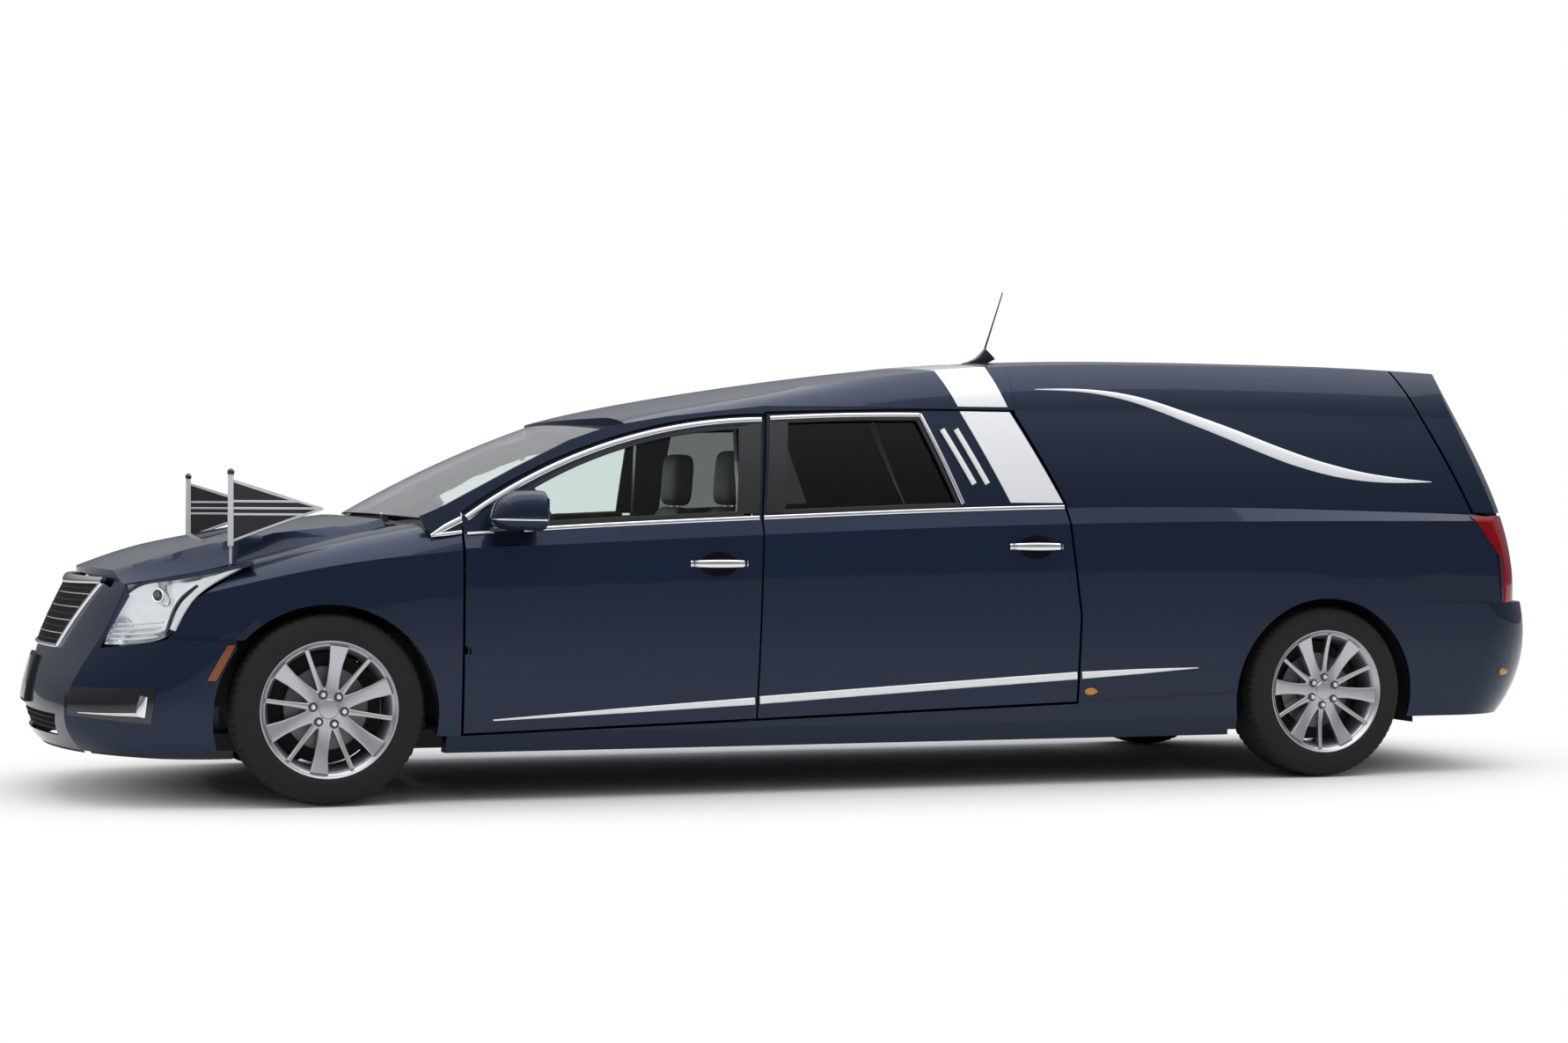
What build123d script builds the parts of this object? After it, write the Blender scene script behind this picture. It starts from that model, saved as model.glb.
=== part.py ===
from build123d import *
import math
import os

# Overall sizes, millimetres. Stations are measured aft of the front axle; the finished
# pieces are moved so that the origin lies on the ground at mid length and mid width.
WHEELBASE = 4055.0
FRONT_OVERHANG = 1012.0
REAR_OVERHANG = 1130.0
LENGTH = FRONT_OVERHANG + WHEELBASE + REAR_OVERHANG
ORIGIN_SHIFT = FRONT_OVERHANG - LENGTH / 2
HALF_WIDTH = 926.0
TRACK = 1577.0
WHEEL_Y = TRACK / 2

# Clearances
SHUT_GAP = 10.0         # between a moving panel and its neighbour
SEAT_GAP = 0.5          # round lamps and glass set into an opening
RUN_GAP = 0.3           # between curved faces that turn on each other

# Body walls
WALL = 70.0             # side wall and door below the belt
FRAME = 30.0            # side wall and door frame above the belt
ROOF_T = 40.0
SKIN = 25.0             # fenders and bumper covers
HOOD_T = 22.0
GLASS_T = 5.0
GLASS_IN = 14.0         # glass lies this far behind the outer face

# Heights
SILL_Z = 180.0
ROCKER_Z = 255.0
FLOOR_Z = 240.0
FLOOR_T = 30.0
FLOOR_TOP = FLOOR_Z + FLOOR_T
REAR_FLOOR_Z = 560.0
DECK_Z = 660.0
DECK_T = 40.0
BUMPER_TOP = 706.0
FENDER_SEAM = 604.0

# Wheels
AXLE_Z = 351.0
TYRE_R = 351.0
TYRE_W = 245.0
RIM_R = 228.0
FLANGE_R = 249.0
RIM_W = 232.0
SPINDLE_R = 25.0
KING_Y = 722.0
ARCH_R = 405.0
ARCH_Z = 325.0
ARCH_OFF = -7.0
LINER_R = 433.0
LINER_T = 6.0
FLANGE_IN = 866.0       # inside this the arch widens for the liner
FLANGE_LAP = 30.0       # length over which liner and flange overlap

# Door hinges
HINGE_Y = 914.0
HINGE_FRONT_X = 504.0
HINGE_REAR_X = 1645.0
HINGE_HEIGHTS = (560.0, 860.0)
PIN_R = 5.0
HINGE_ARM = 12.0        # half height of a hinge arm
HOOD_PIN = (250.0, 1000.0, 6.0)
LID_PIN_Z = 1707.0      # rear door hinge, in the seam at the roof

# Side wall, outer face: station, sill y, rocker y, mid y, shoulder z, shoulder y,
# belt z, belt y, top z, top y
SIDE = (
    (270, 850, 896, 920, 925, 919, 968, 892, 1478, 742),
    (1000, 850, 902, 925, 955, 925, 1015, 897, 1478, 772),
    (1640, 850, 904, 926, 985, 926, 1046, 898, 1478, 796),
    (2900, 850, 904, 926, 1030, 926, 1093, 897, 1478, 814),
    (4000, 850, 904, 926, 1045, 924, 1092, 893, 1478, 812),
    (4600, 845, 896, 914, 1048, 911, 1080, 878, 1478, 797),
    (5000, 800, 845, 862, 1050, 860, 1075, 832, 1478, 766),
    (5220, 720, 770, 790, 1050, 790, 1072, 765, 1478, 724),
)
# Roof, outer face: station, base z, base y, eave z, eave y, crown z
ROOF = (
    (940, 1344, 811, 1388, 640, 1417),
    (1280, 1424, 797, 1468, 668, 1500),
    (1675, 1472, 799, 1530, 700, 1570),
    (2200, 1478, 808, 1606, 718, 1645),
    (3000, 1478, 814, 1668, 722, 1708),
    (4000, 1478, 812, 1678, 718, 1718),
    (4600, 1478, 797, 1668, 706, 1708),
    (5150, 1478, 759, 1640, 680, 1680),
)
# Fender, outer face: station, low y, mid y, shoulder z, shoulder y, edge z, edge y
FENDER = (
    (-600, 790, 830, 735, 802, 815, 650),
    (-420, 840, 872, 775, 862, 850, 700),
    (-150, 868, 903, 838, 899, 922, 722),
    (150, 880, 917, 890, 914, 993, 735),
    (486, 885, 922, 925, 920, 1046, 775),
)
# Hood, outer face: station, edge y, edge z, crown z
HOOD = (
    (-860, 560, 768, 838),
    (-600, 642, 816, 930),
    (-420, 692, 850, 968),
    (-150, 714, 922, 1018),
    (150, 727, 993, 1056),
    (330, 735, 1035, 1078),
)
# Nose outline by height: z, centre x, corner x, corner y, mid x, mid y, side y
NOSE = (
    (190, -950, -830, 600, -640, 780, 850),
    (300, -1012, -905, 640, -690, 810, 882),
    (430, -1002, -890, 660, -660, 828, 892),
    (590, -957, -800, 690, -600, 835, 897),
    (740, -893, -725, 690, -540, 828, 890),
    (870, -828, -650, 670, -470, 815, 880),
)
NOSE_BACK = -250.0
# Tail outline by height: z, centre x, corner x, corner y, mid x, mid y, side x, side y
TAIL = (
    (640, 5108, 5078, 560, 5020, 760, 4640, 935),
    (1060, 5050, 5020, 560, 4965, 765, 4600, 930),
    (1400, 4908, 4880, 520, 4820, 720, 4440, 900),
    (1740, 4725, 4700, 500, 4640, 680, 4260, 850),
)
# Rear bumper outline by height
TAIL_BUMPER = (
    (240, 5070, 5040, 560, 4960, 740, 4700, 872),
    (400, 5160, 5128, 580, 5045, 762, 4740, 896),
    (590, 5185, 5152, 590, 5072, 772, 4760, 908),
    (706, 5168, 5135, 590, 5052, 776, 4740, 912),
)
# Doors and windows in side view (station, height); an arc is written (via, end)
DOOR_LOW = (490.0, 255.0, 2936.0, 330.0)
TAIL_CUT = ((4440.0, 1700.0), (4762.0, 1078.0))
# Lower edge of the roof and upper edge of the front pillar, side view
RAIL = ((1675.0, 1478.0), (1280.0, 1430.0), (1070.0, 1393.0), (905.0, 1338.0))
PILLAR = ((684.0, 1228.0), (427.0, 1092.0), (330.0, 1050.0))
BUMPER_FRONT = 4250.0   # station where the rear bumper meets the quarter panel
BUMPER_FLARE = 12.0     # the rear bumper widens this much towards the quarter panel


def low_line(x):
    """Height of the door bottom at a station."""
    x0, z0, x1, z1 = DOOR_LOW
    return z0 + (z1 - z0) * (x - x0) / (x1 - x0)


def ring(start, *moves):
    """Closed wire through points; a pair of points is an arc (via, end)."""
    edges = []
    here = start
    for move in moves:
        if isinstance(move[0], tuple):
            edges.append(Edge.make_three_point_arc(here, move[0], move[1]))
            here = move[1]
        else:
            edges.append(Edge.make_line(here, move))
            here = move
    if here != start:
        edges.append(Edge.make_line(here, start))
    return Wire(edges)


def at_x(x, start, *moves):
    """Closed wire in the plane of one station from (y, z) points."""
    return ring((x, *start), *[as3(m, lambda p: (x, *p)) for m in moves])


def as3(move, lift):
    """Lift a point or an arc pair into space."""
    if isinstance(move[0], tuple):
        return (lift(move[0]), lift(move[1]))
    return lift(move)


def prism_y(y0, y1, start, *moves):
    """Side view outline (x, z) drawn through from y0 to y1."""
    wire = ring((start[0], y0, start[1]), *[as3(m, lambda p: (p[0], y0, p[1])) for m in moves])
    return Solid.extrude(Face(wire), Vector(0, y1 - y0, 0))


def prism_z(z0, z1, start, *moves):
    """Plan outline (x, y) drawn up from z0 to z1."""
    wire = ring((*start, z0), *[as3(m, lambda p: (*p, z0)) for m in moves])
    return Solid.extrude(Face(wire), Vector(0, 0, z1 - z0))


def prism_x(x0, x1, start, *moves):
    """Front view outline (y, z) drawn back from x0 to x1."""
    wire = ring((x0, *start), *[as3(m, lambda p: (x0, *p)) for m in moves])
    return Solid.extrude(Face(wire), Vector(x1 - x0, 0, 0))


def block(x0, x1, y0, y1, z0, z1):
    """Box between two corners."""
    return Pos((x0 + x1) / 2, (y0 + y1) / 2, (z0 + z1) / 2) * Box(x1 - x0, y1 - y0, z1 - z0)


def rod_y(x, z, r, y0, y1):
    """Round bar across the car."""
    return Pos(x, (y0 + y1) / 2, z) * Rot(90, 0, 0) * Cylinder(r, abs(y1 - y0))


def rod_z(x, y, r, z0, z1):
    """Upright round bar."""
    return Pos(x, y, (z0 + z1) / 2) * Cylinder(r, z1 - z0)


def left(shape):
    """The same piece on the other side of the car."""
    return mirror(shape, about=Plane.XZ)


def biggest(shape):
    """The largest solid of a cut piece."""
    return max(shape.solids(), key=lambda s: s.volume)


def side_section(row, depth=0.0, thick_low=WALL, thick_top=FRAME, low=True):
    """One section of the right side wall, its outer face moved in by a depth."""
    x, sill, rocker, mid, sh_z, sh, belt_z, belt, top_z, top = row
    a = (sill - depth, SILL_Z)
    b = (rocker - depth, ROCKER_Z)
    c = (sh - depth, sh_z)
    d = (belt - depth, belt_z)
    e = (top - depth, top_z)
    bow = ((mid - depth), (ROCKER_Z + sh_z) / 2)
    lean = ((belt + top) / 2 - depth + 12, (belt_z + top_z) / 2)
    e2 = (top - depth - thick_top, top_z)
    lean2 = (lean[0] - thick_top, lean[1])
    d2 = (belt - depth - thick_top, belt_z)
    if not low:
        f = (d[0] + 3, belt_z - 60)
        f2 = (d2[0] + 3, belt_z - 60)
        return at_x(x, f, d, (lean, e), e2, (lean2, d2), f2)
    g = (belt - depth - thick_low, belt_z - 30)
    h = (rocker - depth - thick_low - 8, ROCKER_Z)
    i = (sill - depth - thick_low, SILL_Z)
    return at_x(x, a, b, (bow, c), d, (lean, e), e2, (lean2, d2), g, h, i)


def side_wall():
    """Right side of the body from sill to roof seam, one thick wall."""
    return Solid.make_loft([side_section(row) for row in SIDE])


def glass_wall():
    """Sheet from which the right side windows are cut."""
    return Solid.make_loft([side_section(row, GLASS_IN, GLASS_T, GLASS_T, False) for row in SIDE])


def door_top(grow):
    """Front door outline above the belt, grown by an amount."""
    return ((980 - 0.5 * grow, 1312 + 0.87 * grow), (1677, 1442 + grow))


def front_door_outline(grow=0.0):
    """Front door in side view."""
    g = grow
    x0 = 490 - g
    return ((x0, low_line(490) - g), (1609 + g, low_line(1613) - g), (1630 + g, 1050),
            (1660 + g, 1438 + g), (door_top(g)[0], (x0, 1058 + 0.8 * g)))


def rear_door_outline(grow=0.0):
    """Rear side door in side view."""
    g = grow
    return ((1617 - g, low_line(1617) - g), (2936 + g, low_line(2936) - g), (2945 + g, 667),
            (2886 + g, 1107), (2689 + 1.5 * g, 1470 + g), ((2180, 1464 + g), (1679 - g, 1445 + g)),
            (1638 - g, 1050))


def front_window(grow=0.0):
    """Front door window in side view."""
    g = grow
    return ((640 - g, 1006 - g), (1596 + g, 1052 - g), (1636 + g, 1404 + g),
            ((1010 - g, 1284 + g), (640 - g, 1096 + g)))


def rear_window(grow=0.0):
    """Rear side door window in side view."""
    g = grow
    return ((1720 - g, 1058 - g), (2440 + g, 1100 - g), (2292 + g, 1438 + g), (1757 - g, 1414 + g))


def make_door(wall, outline, window, hinge_x):
    """One side door with its window and hinge pockets cut."""
    panel = wall & prism_y(600, 1000, *outline)
    cuts = [prism_y(600, 1000, *window)]
    for z in HINGE_HEIGHTS:
        cuts.append(block(hinge_x - 60, hinge_x + PIN_R + 3, 700, HINGE_Y + PIN_R + 1.5,
                          z - HINGE_ARM - 3, z + HINGE_ARM + 3))
        cuts.append(rod_z(hinge_x, HINGE_Y, PIN_R + RUN_GAP, z - 46, z + 46))
    return biggest(panel - cuts)


def hinge_arms(hinge_x, root_x):
    """Hinge arms and pins of one right door, standing on its pillar."""
    made = []
    for z in HINGE_HEIGHTS:
        made.append(prism_z(z - HINGE_ARM, z + HINGE_ARM, (root_x - 6, 798), (root_x + 6, 798),
                            (hinge_x + PIN_R, HINGE_Y), (hinge_x - PIN_R, HINGE_Y)))
        made.append(rod_z(hinge_x, HINGE_Y, PIN_R, z - 45, z + 45))
    return made


def arch(x, r, y0, y1, z=ARCH_Z):
    """Round cutter for a wheel arch."""
    return rod_y(x + ARCH_OFF, z, r, y0, y1)


def body_side(wall):
    """Right body side: pillars, sill, quarter panel and roof rail in one piece."""
    shape = prism_y(500, 1000, (430, 100), (BUMPER_FRONT, 100), (BUMPER_FRONT, BUMPER_TOP),
                    (4892, BUMPER_TOP), (4846, 1060), (4754, 1078), (4548, 1478), *RAIL, *PILLAR,
                    (363, 985), (482, 992), (482, 246), (430, 246))
    side = wall & shape
    side = side - [prism_y(500, 1000, *front_door_outline(SHUT_GAP)),
                   prism_y(500, 1000, *rear_door_outline(SHUT_GAP))]
    sill = block(440, 3560, 740, 800, 185, 245)
    hinge_post = block(436, 478, 740, 806, 240, 985)
    foot = block(436, 478, 740, 850, 952, 985) & wall
    b_post = prism_x(1575, 1645, (771, 240), (812, 240), (812, 1010), (731, 1456), (690, 1456),
                     (771, 1010))
    b_top = block(1575, 1645, 690, 778, 1443, 1456)
    c_post = block(2955, 3000, 760, 840, 245, 1000)
    ledge = block(2950, BUMPER_FRONT, 600, 850, 245, 300) & wall
    flange = arch(WHEELBASE, LINER_R, FLANGE_IN - FLANGE_LAP, 900) - arch(WHEELBASE, ARCH_R, 0, 1000)
    flange = flange & block(3000, BUMPER_FRONT, 800, 930, 300, 900)
    side = side + [sill, hinge_post, foot, b_post, b_top, c_post, ledge]
    side = side - [arch(WHEELBASE, ARCH_R, 400, 1000), arch(WHEELBASE, LINER_R + LINER_T + 1, 400, FLANGE_IN),
                   arch(0, LINER_R + LINER_T + 1, 400, FLANGE_IN), arch(0, ARCH_R, 400, 1000)]
    side = side + [flange, *hinge_arms(HINGE_FRONT_X, 468), *hinge_arms(HINGE_REAR_X, 1630)]
    return biggest(side)


def roof_section(row, inset=0.0, fill=False):
    """One section of the roof, an arch across the car."""
    x, base_z, base, eave_z, eave, crown = row
    top = crown - inset
    ey, ez = eave - inset, eave_z - inset * 0.8
    by = base - inset
    knee = (by + 0.30 * (ey - by) - 8, base_z + 0.55 * (ez - base_z))
    if fill:
        return at_x(x, (-by, base_z), (-by, base_z), ((-knee[0], knee[1]), (-ey, ez)), ((0, top), (ey, ez)),
                    ((knee[0], knee[1]), (by, base_z)))
    return (by, base_z), knee, (ey, ez), top


def roof_ring(row):
    """One closed section of the roof shell."""
    x = row[0]
    (by, bz), knee, (ey, ez), top = roof_section(row)
    (iy, iz), knee2, (fy, fz), top2 = roof_section(row, ROOF_T)
    return at_x(x, (by, bz), (knee, (ey, ez)), ((0, top), (-ey, ez)), ((-knee[0], knee[1]), (-by, bz)),
                (-iy, iz), ((-knee2[0], knee2[1]), (-fy, fz)), ((0, top2), (fy, fz)), (knee2, (iy, iz)))


def roof_shell():
    """Roof panel down to the seam over the doors."""
    shell = Solid.make_loft([roof_ring(row) for row in ROOF])
    (x1, z1), (x2, z2) = TAIL_CUT
    slope = (x2 - x1) / (z1 - z2)
    half = SHUT_GAP / 2
    side_cut = prism_y(-1000, 1000, (900, 1478), (x1 + (z1 - 1478) * slope - half, 1478), (x1 - half, z1),
                       (x1 - half, 1800), (900, 1800))
    front_cut = prism_y(-1000, 1000, (880, 1320), *reversed(RAIL), (1675, 1800), (880, 1800))
    plan = prism_z(1200, 1800, (1180, -900), (4600, -900), (4600, 900), (1180, 900), ((966, 0), (1180, -900)))
    panel = biggest(shell & (side_cut + front_cut) & plan)
    pin = rod_y(x1, LID_PIN_Z, SHUT_GAP / 2 - RUN_GAP, -150, 150)
    lugs = [block(x1 - 12, x1, y - 9, y + 9, LID_PIN_Z - 22, LID_PIN_Z) for y in (-141, 0, 141)]
    return biggest(panel + [pin, *lugs])


def fender_section(row):
    """One section of the right fender."""
    x, low, mid, sh_z, sh, edge_z, edge = row
    t = SKIN
    edge_y = edge + SHUT_GAP
    turn = ((sh + edge_y) / 2 + 22, (sh_z + edge_z) / 2 + 14)
    turn2 = (turn[0] - 14, turn[1] - 20)
    bow = (mid, 560)
    return at_x(x, (low, 184), (bow, (sh, sh_z)), (turn, (edge_y, edge_z)), (edge_y, edge_z - t),
                (turn2, (sh - t, sh_z - 6)), ((mid - t, 560), (low - t, 184)))


def fender(lamp_cut):
    """Right front fender with its wheel arch."""
    skin = Solid.make_loft([fender_section(row) for row in FENDER])
    outline = prism_y(600, 1000, (-700, FENDER_SEAM), (0, FENDER_SEAM), (0, 247), (480, 247), (480, 984),
                      (363, 977), (300, 1060), (255, 1120), (-700, 1120))
    flange = arch(0, LINER_R, FLANGE_IN - FLANGE_LAP, 895) - arch(0, ARCH_R, 0, 1000)
    flange = flange & (block(0, 470, 800, 930, 300, 900) + block(-470, 0, 800, 930, FENDER_SEAM, 900))
    panel = (skin & outline) + flange
    groove = arch(0, LINER_R + LINER_T + 1, 400, FLANGE_IN) - arch(0, LINER_R, 300, 1000)
    panel = panel - [arch(0, ARCH_R, 400, 1000), groove, lamp_cut]
    return biggest(panel)


def plan_section(z, nose, inset, back):
    """Nose outline at one height."""
    cx, kx, ky, mx, my, sy = nose
    i = inset
    j = inset * 0.7
    return ring((back, -(sy - i), z), ((mx + j, -(my - j), z), (kx + i, -(ky - j), z)),
                ((cx + i, 0, z), (kx + i, ky - j, z)), ((mx + j, my - j, z), (back, sy - i, z)))


def nose_solid(inset=0.0, back=NOSE_BACK, low=0.0, high=0.0):
    """Filled nose of the car, its face moved in by an inset."""
    wires = []
    for z, *nose in NOSE:
        z_here = z
        if z == NOSE[0][0]:
            z_here = z + low
        if z == NOSE[-1][0]:
            z_here = z + high
        wires.append(plan_section(z_here, nose, inset, back))
    return Solid.make_loft(wires)


def lamp_outline(grow=0.0):
    """Headlamp in side view."""
    g = grow
    return ((-790 - g, 574 - g), (-640, 590 - g), (-560 + g, 610), (-470 + g, 752), (-262 + g, 876),
            (-262 + g, 884 + g), (-440, 852 + g), (-660 - g, 806 + g))


def lamp_range(grow=0.0):
    """Space that holds the right headlamp."""
    return prism_y(560 - grow, 1000, *lamp_outline(grow))


def headlamp(nose):
    """Right headlamp, a closed body with a clear cover."""
    inner = nose_solid(110)
    lamp = (nose & lamp_range()) - [inner, hood_clear()]
    return biggest(lamp)


def hood_clear():
    """Space under and beside the right hood edge, kept free for its travel."""
    edge = [(x, y + SHUT_GAP) for x, y, _, _ in HOOD]
    return prism_z(700, 1200, (HOOD[0][0], 0), *edge, (HOOD[-1][0], 0)) & block(-690, 400, 0, 900, 700, 1200)


def grille_outline(grow=0.0):
    """Shield shape of the grille in front view (y, z)."""
    g = grow
    return ((-300 - g, 560 - g), (300 + g, 560 - g), (430 + g, 800), (415 + g, 826 + g), (-415 - g, 826 + g),
            (-430 - g, 800))


def hood_space():
    """Space of the hood with its clearance, from under the panel upwards."""
    drop = HOOD_T + SHUT_GAP
    wires = []
    for x, edge, edge_z, crown in HOOD:
        e = edge + SHUT_GAP
        wires.append(at_x(x, (-e, edge_z - drop), ((0, crown - drop), (e, edge_z - drop)), (e, 1300), (-e, 1300)))
    front = -SHUT_GAP
    plan = prism_z(500, 1400, (-690 + front, -730), ((-826 + front, 0), (-690 + front, 730)), (330, 730), (330, -730))
    return Solid.make_loft(wires) & plan


def front_bumper(nose):
    """Bumper cover with grille, lower intake and fog recesses cut."""
    cover = nose - nose_solid(SKIN, NOSE_BACK + 50, -50, 50)
    cover = cover & prism_y(-1000, 1000, (-1100, 180), (-330, 180), (-330, FENDER_SEAM), (-640, FENDER_SEAM),
                            (-700, 800), (-834, 834), (-1100, 834))
    cover = cover - arch(0, ARCH_R, -1000, 1000) - arch(0, LINER_R + LINER_T + 1, -FLANGE_IN, FLANGE_IN)
    cover = cover - prism_x(-1100, -700, *grille_outline(SEAT_GAP))
    cover = cover - prism_x(-1100, -800, (-520, 250), (520, 250), (560, 330), (-560, 330))
    for side in (1, -1):
        y0, y1 = sorted((side * 640, side * 800))
        cover = cover - block(-1000, -500, y0, y1, 360, 430)
    cover = cover - [lamp_range(SEAT_GAP), left(lamp_range(SEAT_GAP)), hood_space()]
    arm = block(-985, -862, 380, 440, 440, 500)
    arms = (arm + left(arm)) & nose
    return biggest(cover + arms)


def grille(nose):
    """Grille: a frame, a grid and a bare round seat."""
    shell = nose - nose_solid(45, NOSE_BACK + 50, -50, 50)
    frame = shell & prism_x(-1100, -700, *grille_outline(0.0))
    inner = prism_x(-1100, -700, *grille_outline(-26.0))
    holes = []
    for i in range(5):
        for j in range(-3, 3):
            holes.append(block(-1100, -700, j * 140 + 7, j * 140 + 133, 572 + i * 50, 608 + i * 50))
    back = nose_solid(15) - nose_solid(40, NOSE_BACK + 50, -50, 50)
    grid = (back & prism_x(-1100, -700, *grille_outline(-25.0))) - holes
    return biggest(((frame - inner) + grid) - hood_space())


def hood():
    """Hood panel, hinged at the cowl."""
    wires = []
    for x, edge, edge_z, crown in HOOD:
        wires.append(at_x(x, (-edge, edge_z), ((0, crown), (edge, edge_z)), (edge, edge_z - HOOD_T),
                          ((0, crown - HOOD_T), (-edge, edge_z - HOOD_T))))
    plan = prism_z(600, 1200, (-690, -700), ((-826, 0), (-690, 700)), (-690, 800), (250, 800), (250, 745),
                   ((140, 0), (250, -745)), (250, -800), (-690, -800))
    x, z, r = HOOD_PIN
    ear = block(x - 50, x + 10, 714, 732, z - 15, z + 12)
    panel = (Solid.make_loft(wires) & plan) + [ear, left(ear)]
    return biggest(panel - rod_y(x, z, r + RUN_GAP, -800, 800))


def cowl():
    """Cowl panel under the windscreen with both wipers."""
    wires = []
    for x, edge, edge_z, crown in HOOD[-2:]:
        z = max(edge_z - 14, 1003)
        wires.append(at_x(x, (-edge, 1000), (-edge, z), ((0, crown - 14), (edge, z)), (edge, 1000)))
    plan = prism_z(900, 1200, (262, -735), ((152, 0), (262, 735)), (330, 735), ((205, 0), (330, -735)))
    panel = Solid.make_loft(wires) & plan
    for side in (1, -1):
        panel = panel + prism_z(1028, 1049, (172, side * 60), (186, side * 60), (262, side * 600), (248, side * 600))
    x = HOOD_PIN[0]
    notch = block(x - 20, x + 20, 685, 740, 990, 1060)
    return biggest(panel - [notch, left(notch)])


def windscreen(walls):
    """Windscreen, a bowed sheet between the pillars."""
    wires = []
    for y in (-860, -430, 0, 430, 860):
        k = (y / 860) ** 2
        b = (212 + 150 * k, 1062 - 22 * k)
        t = (985 + 190 * k, 1424 - 30 * k)
        m = ((b[0] + t[0]) / 2 - 10, (b[1] + t[1]) / 2 + 18)
        lift = ((0, 0), (3, -6))
        outer = [(p[0], y, p[1]) for p in (b, m, t)]
        inner = [(p[0] + lift[1][0], y, p[1] + lift[1][1]) for p in (t, m, b)]
        wires.append(ring(outer[0], (outer[1], outer[2]), inner[0], (inner[1], inner[2])))
    sheet = Solid.make_loft(wires)
    trim = prism_z(900, 1600, (180, -790), (345, -850), (1150, -850), ((950, 0), (1150, 850)),
                   (345, 850), (180, 790))
    sheet = sheet & trim
    for w in walls:
        sheet = sheet - w
    return biggest(sheet)


def tail_section(row, inset, back=4300.0, flare=0.0):
    """Tail outline at one height, widened by a flare at its front end."""
    z, cx, kx, ky, mx, my, sx, sy = row
    i = inset
    j = inset * 0.7
    f = flare
    return ring((back, -(sy - i + f), z), (sx, -(sy - i), z), ((mx - j, -(my - j), z), (kx - i, -(ky - j), z)),
                ((cx - i, 0, z), (kx - i, ky - j, z)), ((mx - j, my - j, z), (sx, sy - i, z)),
                (back, sy - i + f, z))


def tail_solid(inset=0.0, back=4300.0):
    """Filled tail of the car, its face moved in by an inset."""
    rake = Solid.make_loft([tail_section(row, inset, back) for row in TAIL])
    upper = []
    for row in ROOF[-3:]:
        x, base_z, base, eave_z, eave, crown = row
        (by, bz), knee, (ey, ez), top = roof_section(row, inset)
        upper.append(at_x(x, (by, bz - 900), (by, bz), (knee, (ey, ez)), ((0, top), (-ey, ez)),
                          ((-knee[0], knee[1]), (-by, bz)), (-by, bz - 900)))
    lower = []
    for row in SIDE[-4:]:
        x, sill, rocker, mid, sh_z, sh, belt_z, belt, top_z, top = row
        i = inset
        lean = ((belt + top) / 2 - i + 12, (belt_z + top_z) / 2)
        lower.append(at_x(x, (mid - i, 500), (sh - i, sh_z), (belt - i, belt_z), (lean, (top - i, top_z)),
                          (-(top - i), top_z), ((-lean[0], lean[1]), (-(belt - i), belt_z)), (-(sh - i), sh_z),
                          (-(mid - i), 500)))
    return rake, Solid.make_loft(upper), Solid.make_loft(lower)


def tail_fill(inset):
    """Tail volume bounded by roof, sides and raked back."""
    rake, upper, lower = tail_solid(inset)
    z_seam = 1478
    low = lower & block(4200, 5300, -1000, 1000, 600, z_seam)
    high = upper & block(4200, 5300, -1000, 1000, z_seam, 1800)
    return rake & (low + high)


LAMP_IN = 700.0         # inner edge of the tail lamp


def rear_door(outer, inner):
    """Rear loading door with its window cut."""
    (x1, z1), (x2, z2) = TAIL_CUT
    g = SHUT_GAP / 2
    upper = prism_y(-1000, 1000, (x1 + g, 1800), (x1 + g, z1), (x2 + g, z2 + 4), (5300, z2 + 4), (5300, 1800))
    inside = LAMP_IN - SHUT_GAP
    lower = block(4700, 5300, -inside, inside, BUMPER_TOP + SHUT_GAP, z2 + 20)
    panel = (outer - inner) & (upper + lower)
    notch = block(x1, x1 + 12, -155, 155, LID_PIN_Z - 24, LID_PIN_Z + 40) & block(x1, x1 + 5.5, -155, 155, 0, 2000)
    return biggest(panel - [tail_window(0.0), notch])


def tail_window(grow):
    """Window of the rear door, seen from behind."""
    g = grow
    return prism_x(4500, 5300, (-560 - g, 1140 - g), (560 + g, 1140 - g), (470 + g, 1560 + g), (-470 - g, 1560 + g))


def rear_door_glass():
    """Pane of the rear door."""
    sheet = tail_solid(22)[0] - tail_solid(22 + GLASS_T, 4250)[0]
    return biggest(sheet & tail_window(-SEAT_GAP))


def tail_lamp(outer):
    """Right tail lamp wrapped round the corner."""
    g = SEAT_GAP
    shape = prism_y(LAMP_IN, 1000, (4892 + g, BUMPER_TOP + g), (5300, BUMPER_TOP + g), (5300, 1070), (4846 + g, 1070))
    return biggest((outer - tail_fill(110)) & shape)


def rear_bumper():
    """Rear bumper cover with its top ledge."""
    def shell(inset, back, rows):
        return Solid.make_loft([tail_section(row, inset, back, BUMPER_FLARE) for row in rows])
    outer = shell(0, BUMPER_FRONT - 50, TAIL_BUMPER)
    rows = [(z - 40 if z == 240 else (z - 26 if z == 706 else z), *rest) for z, *rest in TAIL_BUMPER]
    cover = outer - shell(SKIN, BUMPER_FRONT - 100, rows)
    cover = cover & block(BUMPER_FRONT + 1, 5300, -1000, 1000, 200, 800)
    cover = cover - block(4100, 4940, -660, 660, 600, 800)
    cover = cover - arch(WHEELBASE, ARCH_R, -1000, 1000) - arch(WHEELBASE, LINER_R + LINER_T + 1, -FLANGE_IN, FLANGE_IN)
    cover = cover - prism_x(5000, 5300, (-270, 430), (270, 430), (270, 560), (-270, 560))
    return biggest(cover)


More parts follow.
